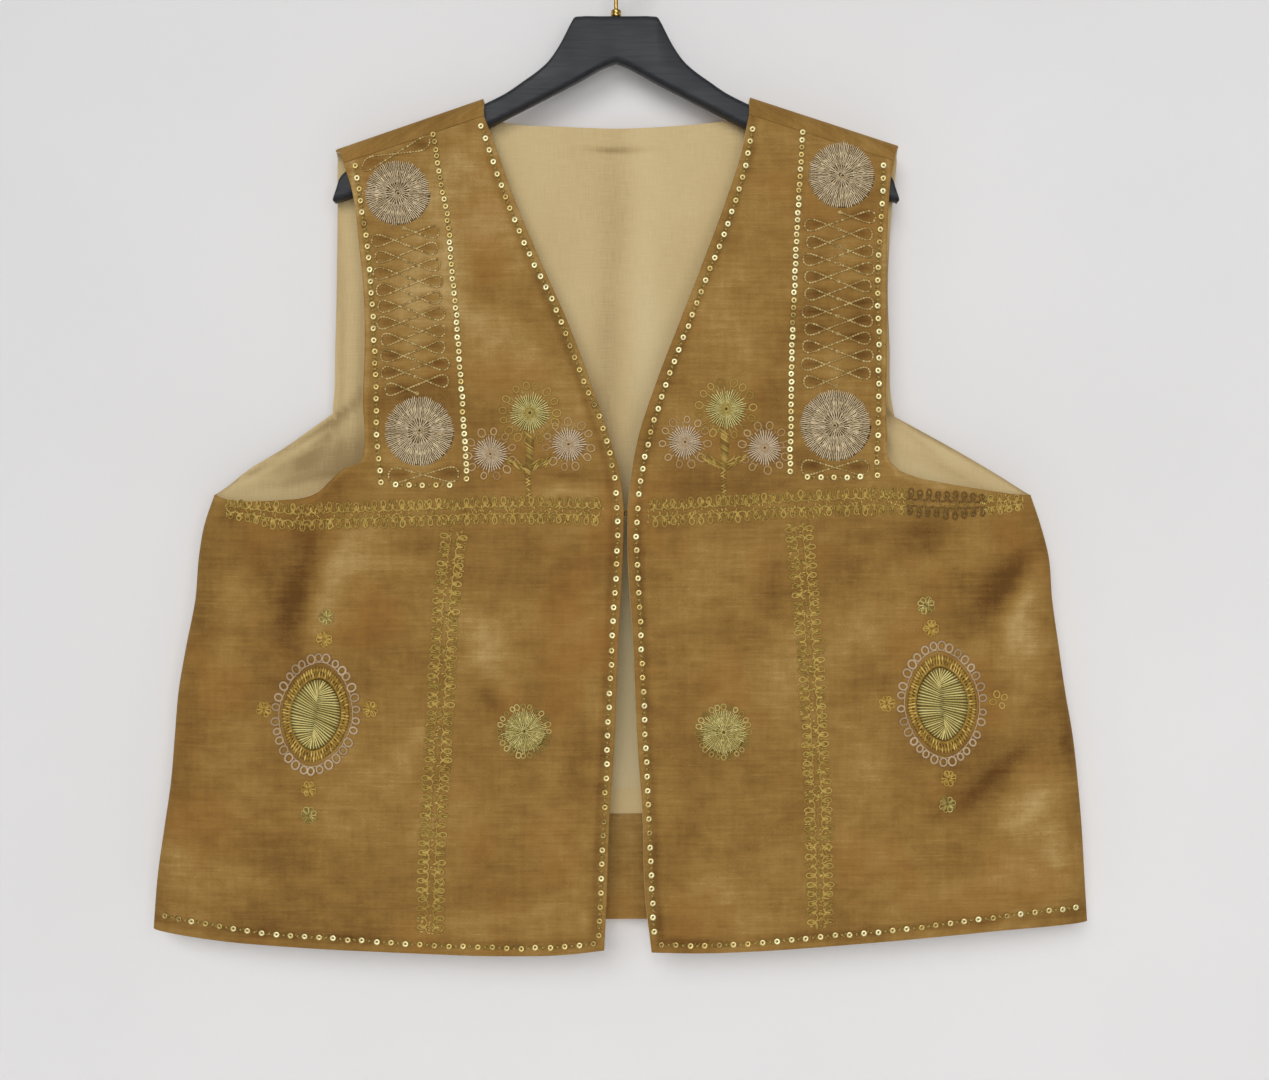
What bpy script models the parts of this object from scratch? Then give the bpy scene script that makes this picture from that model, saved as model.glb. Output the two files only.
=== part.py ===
"""Embroidered velvet waistcoat on a wooden coat hanger, at its real size.

Metres, +Z up. The origin is the inner top of the hanger's hook, where a rail or a wall hook
holds it. +X is to the viewer's right, the fronts face -Y and the back faces +Y.

The cloth is one flattened tube. At a height z its outline across is
|x / half width|^4 + (y / half depth)^2 = 1, and every panel is a stretch of that surface,
bounded by its own cut edges. Tables are in millimetres, with a row for each section or point.
"""
from collections import namedtuple
from math import asin, cos, pi, radians, sin, sqrt

import bmesh
import bpy
import numpy as np
from mathutils import Matrix

MM = 0.001

# Cloth thicknesses and the clearance that touching pieces keep
VELVET = 1.6 * MM
LINING = 1.0 * MM
LINING_HEM = 2.2 * MM
GAP = 0.3 * MM

# Shoulders: the ridge over the hanger, and the shoulder seam just in front of it
SHOULDER_DEPTH = 12.0 * MM
SEAM_DROP = 4.5 * MM
CHEST_REACH = 220.0 * MM
SIDE_SEAM_Y = -3.0 * MM
Ridge = namedtuple("Ridge", "neck_x neck_z arm_x arm_z seam_neck_x seam_arm_x")
RIDGE_LEFT = Ridge(-104.0, -136.0, -220.0, -176.0, -102.5, -212.0)
RIDGE_RIGHT = Ridge(105.0, -135.0, 221.5, -173.0, 103.5, 216.5)

# Sections of the tube: side seams and half depths in front of and behind the seams
Section = namedtuple("Section", "z left right front back")
SECTIONS = (
    Section(-446, -314, 324, 23, 17),
    Section(-470, -322, 332, 23, 17),
    Section(-493, -326, 338, 24, 18),
    Section(-528, -329, 341, 24, 18),
    Section(-564, -336, 346, 25, 18),
    Section(-599, -342, 351, 25, 18),
    Section(-634, -345, 357, 24, 18),
    Section(-670, -348, 361, 24, 17),
    Section(-705, -353, 364, 23, 17),
    Section(-740, -358, 366, 23, 16),
    Section(-790, -362, 369, 22, 16),
)

# Cut edges, from the bottom up or from the centre outwards
Point = namedtuple("Point", "x z")
Edges = namedtuple("Edges", "hem centre neck arm_upright arm_level")
LEFT_EDGES = Edges(
    hem=(Point(-8.8, -797), Point(-40, -800.4), Point(-90, -801.4), Point(-167, -798.8),
         Point(-245, -795.4), Point(-306, -791.3), Point(-361.6, -785)),
    centre=(Point(-8.8, -797), Point(-7, -758), Point(-4.7, -693), Point(-1.2, -642),
            Point(2.4, -553), Point(5.5, -494), Point(6.3, -459)),
    neck=(Point(6.3, -459), Point(3.2, -431), Point(-4.5, -404), Point(-20, -358),
          Point(-38, -311.5), Point(-58.6, -265), Point(-78, -219), Point(-92, -180)),
    arm_upright=(Point(-221, -437), Point(-210, -427), Point(-196, -420.8), Point(-194, -412),
                 Point(-194.5, -374), Point(-193.7, -322), Point(-195, -291),
                 Point(-198.5, -259), Point(-206.5, -205)),
    arm_level=(Point(-221, -437), Point(-230, -445), Point(-240, -448.8), Point(-257, -450.5),
               Point(-282, -451.5), Point(-299, -450.5), Point(-314, -446)))
RIGHT_EDGES = Edges(
    hem=(Point(27.7, -798.5), Point(60, -799.2), Point(104, -797.9), Point(160, -794.2),
         Point(220, -789.5), Point(297, -783), Point(368.4, -779)),
    centre=(Point(27.7, -798.5), Point(23, -758), Point(20.7, -693), Point(17, -642),
            Point(13, -553), Point(9.4, -494), Point(9.2, -459)),
    neck=(Point(9.2, -459), Point(12, -431), Point(17, -404), Point(32, -358),
          Point(50, -311.5), Point(68, -265), Point(85, -219), Point(97.5, -180)),
    arm_upright=(Point(218, -428), Point(210.5, -420), Point(208.6, -400), Point(209, -330),
                 Point(209, -295), Point(210, -259), Point(212, -218), Point(214, -198)),
    arm_level=(Point(218, -428), Point(228, -432), Point(250, -437), Point(278, -441.5),
               Point(298, -444.5), Point(312, -446), Point(324, -446)))
BACK_HEM = (Point(-361.6, -785), Point(-180, -783), Point(0, -781), Point(180, -780),
            Point(368.4, -779))
BACK_NECK = (Point(-85, -152.5), Point(-42, -155), Point(0, -156.6), Point(45, -154.5),
             Point(82, -151))
BACK_ARM_LEFT = (Point(-224.3, -382), Point(-223, -368), Point(-222, -330), Point(-221, -292),
                 Point(-220, -217))
BACK_ARM_RIGHT = (Point(219.8, -384), Point(217, -368), Point(216, -330), Point(214.5, -284),
                  Point(218, -217))
BACK_SLOPE_LEFT = (Point(-314, -446), Point(-303.5, -438), Point(-290, -426.5), Point(-264, -410.5),
                   Point(-243, -395.5), Point(-224.3, -382))
BACK_SLOPE_RIGHT = (Point(324, -446), Point(306.5, -434.3), Point(280.3, -418), Point(248, -399.5),
                    Point(219.8, -384))

# Largest folds: a trough runs from start to end, and a negative depth is a ridge
Fold = namedtuple("Fold", "face x0 z0 x1 z1 depth width")
FOLDS = (
    Fold(-1, -219, -462, -245, -520, 5.5, 17),
    Fold(-1, -245, -520, -263, -586, 4.5, 17),
    Fold(-1, -300, -470, -276, -506, 3.0, 14),
    Fold(-1, -190, -480, -205, -560, -3.0, 20),
    Fold(-1, -70, -566, -97, -600, 3.0, 17),
    Fold(-1, -97, -600, -123, -661, 3.5, 17),
    Fold(-1, -82, -530, -106, -581, -3.0, 18),
    Fold(-1, -120, -335, -43, -358, -2.0, 18),
    Fold(-1, 322, -487, 286, -518, 3.5, 16),
    Fold(-1, 286, -518, 268, -546, 4.0, 16),
    Fold(-1, 246, -470, 250, -520, 3.0, 17),
    Fold(-1, 306, -660, 285, -691, 2.5, 16),
    Fold(-1, 120, -520, 135, -620, -2.5, 22),
    Fold(1, -150, -330, -210, -470, 3.5, 24),
    Fold(1, 150, -330, 215, -480, 3.5, 24),
    Fold(1, -60, -520, -75, -760, 2.5, 26),
    Fold(1, 80, -540, 90, -760, 2.5, 26),
)

# Grid: how many cells each stretch of a panel has
FRONT_INNER_CELLS = 8
FRONT_SIDE_CELLS = 7
FRONT_UPPER_CELLS = 10
FRONT_LOWER_ROWS = 11
FRONT_LINING_LIFT = 0.03
BACK_SIDE_CELLS = 5
BACK_SHOULDER_CELLS = 4
BACK_NECK_CELLS = 6
BACK_UPPER_CELLS = 9
BACK_TURNUP_TOP = 0.2085
BACK_TURNUP_ROWS = 3
BACK_LOWER_ROWS = 8
SIDE_BEND_START = 0.7
WRAP_ANGLES = (0.0, 45.0, 90.0, 135.0, 180.0)
WRAP_ARM_SHARE = (0.0, 0.0, 0.0, 0.35, 0.8)

# Raised motifs: centre and half sizes
MOTIF_THICKNESS = 1.2 * MM
MOTIF_SIDES = 24
Motif = namedtuple("Motif", "name panel patch x z half_width half_height thread")
MOTIFS = (
    Motif("disc_shoulder_left_upper", "front_left", 1, -169.4, -212.2, 25.4, 25.4, "silver"),
    Motif("disc_shoulder_left_lower", "front_left", 1, -150.8, -397.9, 26.6, 26.6, "silver"),
    Motif("disc_shoulder_right_upper", "front_right", 1, 174.8, -198.5, 25.8, 25.8, "silver"),
    Motif("disc_shoulder_right_lower", "front_right", 1, 168.8, -393.5, 27.4, 27.4, "silver"),
    Motif("disc_hem_left", "front_left", 0, -70.1, -628.1, 20.8, 20.8, "gold"),
    Motif("disc_hem_right", "front_right", 0, 82.7, -628.8, 21.4, 21.4, "gold"),
    Motif("medallion_left", "front_left", 0, -229.0, -612.0, 25.5, 38.5, "gold"),
    Motif("medallion_right", "front_right", 0, 250.5, -605.0, 26.5, 39.0, "gold"),
    Motif("flower_left_top", "front_left", 1, -67.0, -381.1, 13.1, 13.1, "gold"),
    Motif("flower_left_outer", "front_left", 1, -96.4, -412.8, 11.9, 11.9, "silver"),
    Motif("flower_left_inner", "front_left", 1, -36.4, -406.6, 11.9, 11.9, "silver"),
    Motif("flower_right_top", "front_right", 1, 85.0, -379.6, 13.1, 13.1, "gold"),
    Motif("flower_right_inner", "front_right", 1, 53.4, -404.8, 11.9, 11.9, "silver"),
    Motif("flower_right_outer", "front_right", 1, 114.4, -409.6, 11.9, 11.9, "silver"),
)

# Hanger: a flat wooden bar, a nut and a wire hook
BAR_THICKNESS = 14.0 * MM
BAR_ROUNDING = 4.5 * MM
BAR_UPPER = (Point(30.5, -71.8), Point(33.6, -73.6), Point(38.6, -83.6), Point(42.5, -91.3),
             Point(47.2, -99.1), Point(53, -107), Point(61.6, -114.8), Point(72.5, -122.6),
             Point(84.6, -131.0), Point(104, -141.0), Point(213, -194.8))
BAR_TIP = (Point(217.5, -198.5), Point(219.4, -205), Point(219.0, -213), Point(215.5, -216.5),
           Point(210, -214.2))
BAR_PEAK = Point(0, -107.7)
NUT_RADIUS = 4.0 * MM
NUT_HEIGHT = 5.2 * MM
WIRE_RADIUS = 1.6 * MM
HOOK_INNER_RADIUS = 22.0 * MM
HOOK_BEND_RADIUS = 8.0 * MM
HOOK_END_ANGLE = 205.0

# Hook and eye at the waist
CLOSURE_WIRE = 0.45 * MM
CLOSURE_Z = -461.0 * MM
CLOSURE_LENGTH = 13.0 * MM
CLOSURE_WIDTH = 4.4 * MM

MATERIALS = {
    "velvet": ((0.262, 0.143, 0.037), 0.80, 0.0),
    "lining": ((0.497, 0.386, 0.191), 0.85, 0.0),
    "silver": ((0.392, 0.305, 0.184), 0.45, 0.3),
    "gold": ((0.309, 0.235, 0.076), 0.45, 0.3),
    "wood": ((0.018, 0.019, 0.021), 0.40, 0.0),
    "brass": ((0.60, 0.43, 0.15), 0.30, 1.0),
}

Patch = namedtuple("Patch", "points normals")


def clear_scene():
    for item in list(bpy.data.objects):
        bpy.data.objects.remove(item, do_unlink=True)


def collection(name):
    group = bpy.data.collections.new(name)
    bpy.context.scene.collection.children.link(group)
    return group


def material(name):
    if name in bpy.data.materials:
        return bpy.data.materials[name]
    colour, roughness, metallic = MATERIALS[name]
    made = bpy.data.materials.new(name)
    made.use_nodes = True
    shader = made.node_tree.nodes["Principled BSDF"]
    shader.inputs["Base Color"].default_value = (*colour, 1.0)
    shader.inputs["Roughness"].default_value = roughness
    shader.inputs["Metallic"].default_value = metallic
    return made


def place(name, data, group, finish):
    """Link a mesh or curve as a named object of its own, with its own material."""
    item = bpy.data.objects.new(name, data)
    group.objects.link(item)
    own = material(finish).copy()
    own.name = name + "_" + finish
    data.materials.append(own)
    return item


def along(rows, shares):
    """Points at given shares of the way along a smooth curve through the rows, in metres."""
    points = np.array(rows, dtype=float) * MM
    steps = np.hypot(*np.diff(points, axis=0).T)
    reach = np.concatenate(([0.0], np.cumsum(steps)))
    slope = np.gradient(points, reach, axis=0)
    at = np.asarray(shares, dtype=float) * reach[-1]
    cell = np.clip(np.searchsorted(reach, at, side="right") - 1, 0, len(steps) - 1)
    step = steps[cell][:, None]
    t = ((at - reach[cell]) / steps[cell])[:, None]
    return ((2 * t**3 - 3 * t**2 + 1) * points[cell] + (t**3 - 2 * t**2 + t) * step * slope[cell]
            + (3 * t**2 - 2 * t**3) * points[cell + 1] + (t**3 - t**2) * step * slope[cell + 1])


def ridge_of(x):
    """Height of the shoulder ridge over x, carried on in a straight line past both its ends."""
    heights = []
    for ridge in (RIDGE_LEFT, RIDGE_RIGHT):
        slope = (ridge.arm_z - ridge.neck_z) / (ridge.arm_x - ridge.neck_x)
        heights.append(ridge.neck_z * MM + slope * (x - ridge.neck_x * MM))
    return np.where(x < 0, heights[0], heights[1])


def section_value(z, column):
    """A column of the section table at height z, level above the top row."""
    heights = np.array([row.z for row in SECTIONS[::-1]]) * MM
    values = np.array([getattr(row, column) for row in SECTIONS[::-1]]) * MM
    return np.interp(z, heights, values)


def across(x, z):
    """Where x lies between the side seams, from -1 to 1."""
    left = section_value(z, "left")
    right = section_value(z, "right")
    return np.clip((x - (left + right) / 2) / ((right - left) / 2), -1.0, 1.0)


def fold_depth(x, z, face):
    """Sum of the folds on one face: each falls off as a bell with the distance to its line."""
    total = np.zeros(np.broadcast(x, z).shape)
    for fold in (f for f in FOLDS if f.face == face):
        x0, z0 = fold.x0 * MM, fold.z0 * MM
        dx, dz = fold.x1 * MM - x0, fold.z1 * MM - z0
        share = np.clip(((x - x0) * dx + (z - z0) * dz) / (dx * dx + dz * dz), 0.0, 1.0)
        apart = np.hypot(x - x0 - share * dx, z - z0 - share * dz)
        total = total + fold.depth * MM * np.exp(-(apart / (fold.width * MM))**2)
    return total


def fall(x, z):
    """How far below the shoulder a point hangs, easing from 0 at the ridge to 1 at the chest."""
    share = np.clip((ridge_of(x) - SHOULDER_DEPTH - z) / CHEST_REACH, 0.0, 1.0)
    return share * share * (3 - 2 * share)


def half_depth(x, z, face):
    eased = fall(x, z)
    body = section_value(z, "front" if face < 0 else "back")
    return SHOULDER_DEPTH + (body - SHOULDER_DEPTH) * eased - fold_depth(x, z, face)


def surface_y(x, z, face):
    """Depth of the outer surface: the flattened oval's height above the side seam plane."""
    rise = half_depth(x, z, face) * np.sqrt(1.0 - across(x, z)**4)
    return SIDE_SEAM_Y * fall(x, z) + face * (GAP / 2 + rise)


def body_level(x, y, z, face):
    """Zero on the outer surface and more outside it."""
    height = face * (y - SIDE_SEAM_Y * fall(x, z)) - GAP / 2
    return across(x, z)**4 + (height / half_depth(x, z, face))**2


def wrap_radius(x):
    return GAP / 2 + SHOULDER_DEPTH * np.sqrt(1.0 - across(x, np.zeros_like(x))**4)


def wrap_centre(x):
    return ridge_of(x) - wrap_radius(x)


def wrap_level(x, y, z, face):
    return (y**2 + (z - wrap_centre(x))**2) / SHOULDER_DEPTH**2 - (wrap_radius(x) / SHOULDER_DEPTH)**2


def outward(level, x, y, z, face):
    """Unit normals, from the slope of a level function."""
    step = 0.05 * MM
    grad = np.stack([level(x + step, y, z, face) - level(x - step, y, z, face),
                     level(x, y + step, z, face) - level(x, y - step, z, face),
                     level(x, y, z + step, face) - level(x, y, z - step, face)], axis=-1)
    return grad / np.linalg.norm(grad, axis=-1, keepdims=True)


def skin(plan, face):
    """Lay a flat plan of x and z onto the front or back of the tube."""
    x, z = plan[..., 0], plan[..., 1]
    y = surface_y(x, z, face)
    return Patch(np.stack([x, y, z], axis=-1), outward(body_level, x, y, z, face))


def coons(bottom, top, inner, outer, shares):
    """Plan filled in between four edges, with a row at each share of the way up."""
    v = np.asarray(shares)[:, None, None]
    u = np.linspace(0.0, 1.0, len(bottom))[None, :, None]
    plan = (1 - v) * bottom[None] + v * top[None]
    plan = plan + (1 - u) * (inner[:, None] - (1 - v) * bottom[0] - v * top[0])
    return plan + u * (outer[:, None] - (1 - v) * bottom[-1] - v * top[-1])


def side_shares(cells):
    """Shares that crowd towards the side seam, where the tube bends round."""
    angles = np.linspace(asin(SIDE_BEND_START**2), pi / 2, cells + 1)
    return (np.sqrt(np.sin(angles)) - SIDE_BEND_START) / (1 - SIDE_BEND_START)


def side_edge(column, bottom_z, top_z, shares):
    """The side seam, as plan points on the tube's own edge."""
    z = bottom_z + (top_z - bottom_z) * np.asarray(shares)
    return np.stack([section_value(z, column), z], axis=-1)


def join(first, second):
    return np.concatenate([first, second[1:]])


def seam_point(x):
    """Where the front's shoulder seam lies, at x in millimetres."""
    return Point(x, float(wrap_centre(np.array(x * MM)) - SEAM_DROP) / MM)


def front_patches(edges, ridge, column):
    """Lower patch, hem to underarm, and upper patch, neck edge to armhole."""
    rows = np.concatenate(([0.0], np.linspace(FRONT_LINING_LIFT, 1.0, FRONT_LOWER_ROWS + 1)))
    inner = np.linspace(0.0, 1.0, FRONT_INNER_CELLS + 1)
    outer = side_shares(FRONT_SIDE_CELLS)
    hem_split = 0.66
    hem = join(along(edges.hem, inner * hem_split),
               along(edges.hem, hem_split + outer * (1 - hem_split)))
    corner = edges.arm_upright[0]
    chest = along((edges.neck[0], corner), inner)
    waist = join(chest, along(edges.arm_level, outer))
    side = side_edge(column, hem[-1][1], waist[-1][1], rows)
    hem[-1] = side[0]
    waist[-1] = side[-1]
    lower = coons(hem, waist, along(edges.centre, rows), side, rows)
    climb = np.linspace(0.0, 1.0, FRONT_UPPER_CELLS + 1)
    neck = along(edges.neck + (seam_point(ridge.seam_neck_x),), climb)
    arm = along(edges.arm_upright + (seam_point(ridge.seam_arm_x),), climb)
    seam_x = (ridge.seam_neck_x + (ridge.seam_arm_x - ridge.seam_neck_x) * inner) * MM
    seam = np.stack([seam_x, wrap_centre(seam_x) - SEAM_DROP], axis=-1)
    upper = coons(chest, seam, neck, arm, climb)
    if column == "left":
        lower = lower[:, ::-1]
        upper = upper[:, ::-1]
    return skin(lower, -1), skin(upper, -1)


def spans(xs, cells):
    """Values that divide each stretch between the given ones into its number of cells."""
    parts = [np.linspace(a, b, n + 1)[:-1] for a, b, n in zip(xs, xs[1:], cells)]
    return np.concatenate(parts + [[xs[-1]]])


def wrap_patch(ridge, from_neck):
    """The back's cloth over the shoulder, from behind the ridge to the shoulder seam."""
    share = np.linspace(0.0, 1.0, BACK_SHOULDER_CELLS + 1)
    if not from_neck:
        share = share[::-1]
    points = []
    for angle, narrowing in zip(WRAP_ANGLES + (180.0,), WRAP_ARM_SHARE + (1.0,)):
        neck_x = ridge.neck_x + (ridge.seam_neck_x - ridge.neck_x) * narrowing
        arm_x = ridge.arm_x + (ridge.seam_arm_x - ridge.arm_x) * narrowing
        x = (neck_x + (arm_x - neck_x) * share) * MM
        drop = SEAM_DROP - GAP if len(points) == len(WRAP_ANGLES) else 0.0
        y = wrap_radius(x) * cos(radians(angle))
        z = wrap_centre(x) + wrap_radius(x) * sin(radians(angle)) - drop
        points.append(np.stack([x, y, z], axis=-1))
    grid = np.array(points)
    normals = outward(wrap_level, grid[..., 0], grid[..., 1], grid[..., 2], 1)
    normals[-1] = normals[-2]
    return Patch(grid, normals)


def back_patches():
    """Lower patch, upper patch and the two wraps over the shoulders."""
    cells = (BACK_SHOULDER_CELLS, BACK_NECK_CELLS, BACK_SHOULDER_CELLS)
    rows = join(np.linspace(0.0, BACK_TURNUP_TOP, BACK_TURNUP_ROWS + 1),
                np.linspace(BACK_TURNUP_TOP, 1.0, BACK_LOWER_ROWS + 1))
    side = side_shares(BACK_SIDE_CELLS)
    split = 0.155
    hem_shares = join(join((1 - side[::-1]) * split, spans((split, 0.335, 0.66, 1 - split), cells)),
                      1 - split + side * split)
    hem = along(BACK_HEM, hem_shares)
    slope_left = along(BACK_SLOPE_LEFT, 1 - side[::-1])
    slope_right = along(BACK_SLOPE_RIGHT[::-1], side)
    waist_x = spans((slope_left[-1][0], -110 * MM, 110 * MM, slope_right[0][0]), cells)
    waist_z = np.interp(waist_x, (waist_x[0], waist_x[-1]), (slope_left[-1][1], slope_right[0][1]))
    middle = np.stack([waist_x, waist_z], axis=-1)
    waist = join(join(slope_left, middle), slope_right)
    seam_left = side_edge("left", hem[0][1], waist[0][1], rows)
    seam_right = side_edge("right", hem[-1][1], waist[-1][1], rows)
    hem[0], hem[-1] = seam_left[0], seam_right[0]
    waist[0], waist[-1] = seam_left[-1], seam_right[-1]
    lower = coons(hem, waist, seam_left, seam_right, rows)
    climb = np.linspace(0.0, 1.0, BACK_UPPER_CELLS + 1)
    shoulder_left = np.linspace(RIDGE_LEFT.arm_x, RIDGE_LEFT.neck_x, BACK_SHOULDER_CELLS + 1) * MM
    shoulder_right = np.linspace(RIDGE_RIGHT.neck_x, RIDGE_RIGHT.arm_x, BACK_SHOULDER_CELLS + 1) * MM
    left_top = np.stack([shoulder_left, wrap_centre(shoulder_left)], axis=-1)
    right_top = np.stack([shoulder_right, wrap_centre(shoulder_right)], axis=-1)
    neck_rows = (Point(*left_top[-1] / MM),) + BACK_NECK + (Point(*right_top[0] / MM),)
    neck = along(neck_rows, np.linspace(0.0, 1.0, BACK_NECK_CELLS + 1))
    top = join(join(left_top, neck), right_top)
    arm_left = along(BACK_ARM_LEFT + (Point(*left_top[0] / MM),), climb)
    arm_right = along(BACK_ARM_RIGHT + (Point(*right_top[-1] / MM),), climb)
    upper = coons(middle, top, arm_left, arm_right, climb)
    return (skin(lower, 1), skin(upper, 1), wrap_patch(RIDGE_LEFT, False),
            wrap_patch(RIDGE_RIGHT, True))


def cut_rows(patch, first, last=None):
    return Patch(patch.points[first:last], patch.normals[first:last])


def shell_mesh(name, patches, outer, inner):
    """Closed wall: the patches' grids joined, split on one diagonal, then given a far side.

    outer and inner hold, for each patch, the distances of the wall's two sides along the
    outward normals, as numbers or as a value for each row.
    """
    bm = bmesh.new()
    slot = bm.verts.layers.int.new("slot")
    far = []
    for patch, near_by, far_by in zip(patches, outer, inner):
        height, width = patch.points.shape[:2]
        near_by = np.broadcast_to(np.asarray(near_by, dtype=float).reshape(-1, 1, 1), (height, 1, 1))
        far_by = np.broadcast_to(np.asarray(far_by, dtype=float).reshape(-1, 1, 1), (height, 1, 1))
        near_points = patch.points + near_by * patch.normals
        far_points = patch.points + far_by * patch.normals
        grid = bmesh.ops.create_grid(bm, x_segments=width - 1, y_segments=height - 1, size=0.5)
        for vert in grid["verts"]:
            column = round((vert.co.x + 0.5) * (width - 1))
            row = round((vert.co.y + 0.5) * (height - 1))
            vert[slot] = len(far) + row * width + column
            vert.co = near_points[row, column]
        far.extend(far_points.reshape(-1, 3))
    bmesh.ops.remove_doubles(bm, verts=bm.verts, dist=0.01 * MM)
    bmesh.ops.triangulate(bm, faces=bm.faces, quad_method="FIXED")
    raised = bmesh.ops.extrude_face_region(bm, geom=bm.faces[:] + bm.edges[:], use_keep_orig=True)
    for vert in (item for item in raised["geom"] if isinstance(item, bmesh.types.BMVert)):
        vert.co = far[vert[slot]]
    bmesh.ops.recalc_face_normals(bm, faces=bm.faces)
    mesh = bpy.data.meshes.new(name)
    bm.to_mesh(mesh)
    bm.free()
    mesh.shade_smooth()
    mesh.set_sharp_from_angle(angle=radians(50.0))
    return mesh


def wall(name, patches, outer, thickness, group, finish):
    """One piece of cloth: its outer side lies at outer, and its inner side further in."""
    inner = [np.asarray(start) - np.asarray(depth) for start, depth in zip(outer, thickness)]
    return place(name, shell_mesh(name, patches, outer, inner), group, finish)


def build_cloth(group):
    """The three velvet panels, the turned-up hem and the three linings."""
    panels = {"front_left": front_patches(LEFT_EDGES, RIDGE_LEFT, "left"),
              "front_right": front_patches(RIGHT_EDGES, RIDGE_RIGHT, "right")}
    lining_top = -VELVET - GAP
    for name, (lower, upper) in panels.items():
        wall(name, (lower, upper), (0, 0), (VELVET, VELVET), group, "velvet")
        wall("lining_" + name, (cut_rows(lower, 1), upper), (lining_top, lining_top),
             (LINING, LINING), group, "lining")
    lower, upper, left, right = back_patches()
    wall("back", (lower, upper, left, right), (0,) * 4, (VELVET,) * 4, group, "velvet")
    lining_rows = cut_rows(lower, BACK_TURNUP_ROWS)
    thick = np.full(len(lining_rows.points), LINING)
    thick[0] = LINING_HEM
    wall("lining_back", (lining_rows, upper, left, right), (lining_top,) * 4,
         (thick, LINING, LINING, LINING), group, "lining")
    turnup = cut_rows(lower, 0, BACK_TURNUP_ROWS + 1)
    turnup.points[-1, :, 2] -= GAP
    wall("back_hem_turnup", (turnup,), (lining_top,), (VELVET,), group, "velvet")
    return panels


def motif_cutter(motif, group):
    """An oval prism along Y that trims a motif out of a shell laid on the panel."""
    bm = bmesh.new()
    bmesh.ops.create_cone(bm, cap_ends=True, segments=MOTIF_SIDES, radius1=1.0, radius2=1.0,
                          depth=0.2)
    bmesh.ops.rotate(bm, verts=bm.verts, matrix=Matrix.Rotation(pi / 2, 3, "X"))
    bmesh.ops.scale(bm, verts=bm.verts, vec=(motif.half_width * MM, 1.0, motif.half_height * MM))
    mesh = bpy.data.meshes.new(motif.name + "_outline")
    bm.to_mesh(mesh)
    bm.free()
    cutter = bpy.data.objects.new(motif.name + "_outline", mesh)
    cutter.location = (motif.x * MM, 0.0, motif.z * MM)
    cutter.hide_render = True
    cutter.display_type = "WIRE"
    group.objects.link(cutter)
    return cutter


def build_motifs(panels, group, cutters):
    """Thick stitched motifs: the panel's own points moved out, trimmed to each outline."""
    for motif in MOTIFS:
        patch = panels[motif.panel][motif.patch]
        raised = GAP + MOTIF_THICKNESS
        mesh = shell_mesh(motif.name, (patch,), (raised,), (GAP,))
        item = place(motif.name, mesh, group, motif.thread)
        trim = item.modifiers.new("outline", "BOOLEAN")
        trim.operation = "INTERSECT"
        trim.object = motif_cutter(motif, cutters)


def curve_object(name, group, finish, dimensions="3D"):
    curve = bpy.data.curves.new(name, "CURVE")
    curve.dimensions = dimensions
    return place(name, curve, group, finish)


def poly_spline(curve, points, cyclic=False):
    spline = curve.splines.new("POLY")
    spline.points.add(len(points) - 1)
    for point, position in zip(spline.points, points):
        point.co = (*position, 1.0)
    spline.use_cyclic_u = cyclic


def build_bar(group):
    """Wooden bar: its flat outline, mirrored about the middle, with rounded long edges."""
    half = BAR_UPPER + BAR_TIP
    right = [(point.x * MM, point.z * MM, 0.0) for point in half]
    left = [(-x, z, 0.0) for x, z, _ in reversed(right)]
    outline = left + right + [(BAR_PEAK.x * MM, BAR_PEAK.z * MM, 0.0)]
    flat = curve_object("bar_outline", group, "wood", "2D")
    flat.data.fill_mode = "BOTH"
    flat.data.extrude = BAR_THICKNESS / 2
    poly_spline(flat.data, outline, cyclic=True)
    bpy.context.view_layer.update()
    seen = flat.evaluated_get(bpy.context.evaluated_depsgraph_get())
    mesh = bpy.data.meshes.new_from_object(seen)
    bpy.data.objects.remove(flat, do_unlink=True)
    bm = bmesh.new()
    bm.from_mesh(mesh)
    bmesh.ops.remove_doubles(bm, verts=bm.verts, dist=0.01 * MM)
    bmesh.ops.rotate(bm, verts=bm.verts, matrix=Matrix.Rotation(pi / 2, 3, "X"))
    bmesh.ops.recalc_face_normals(bm, faces=bm.faces)
    bmesh.ops.dissolve_limit(bm, angle_limit=radians(1.0), verts=bm.verts, edges=bm.edges)
    bm.to_mesh(mesh)
    bm.free()
    mesh.materials.clear()
    bar = place("hanger_bar", mesh, group, "wood")
    rounding = bar.modifiers.new("rounding", "BEVEL")
    rounding.width = BAR_ROUNDING
    rounding.segments = 2
    rounding.limit_method = "ANGLE"
    rounding.angle_limit = radians(60.0)
    mesh.shade_smooth()
    mesh.set_sharp_from_angle(angle=radians(35.0))


def hook_path(stem_foot):
    """Wire centre line: up the stem, a small bend, then most of a circle round the rail."""
    loop = HOOK_INNER_RADIUS + WIRE_RADIUS
    centre = -HOOK_INNER_RADIUS
    bend_z = centre - sqrt(loop**2 + 2 * loop * HOOK_BEND_RADIUS)
    meet = asin((centre - bend_z) / (loop + HOOK_BEND_RADIUS))
    path = [(0.0, 0.0, stem_foot)]
    for angle in np.linspace(pi, pi - meet, 6):
        path.append((HOOK_BEND_RADIUS * (1 + cos(angle)), 0.0, bend_z + HOOK_BEND_RADIUS * sin(angle)))
    for angle in np.linspace(-meet, radians(HOOK_END_ANGLE), 21)[1:]:
        path.append((loop * cos(angle), 0.0, centre + loop * sin(angle)))
    return path


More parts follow.
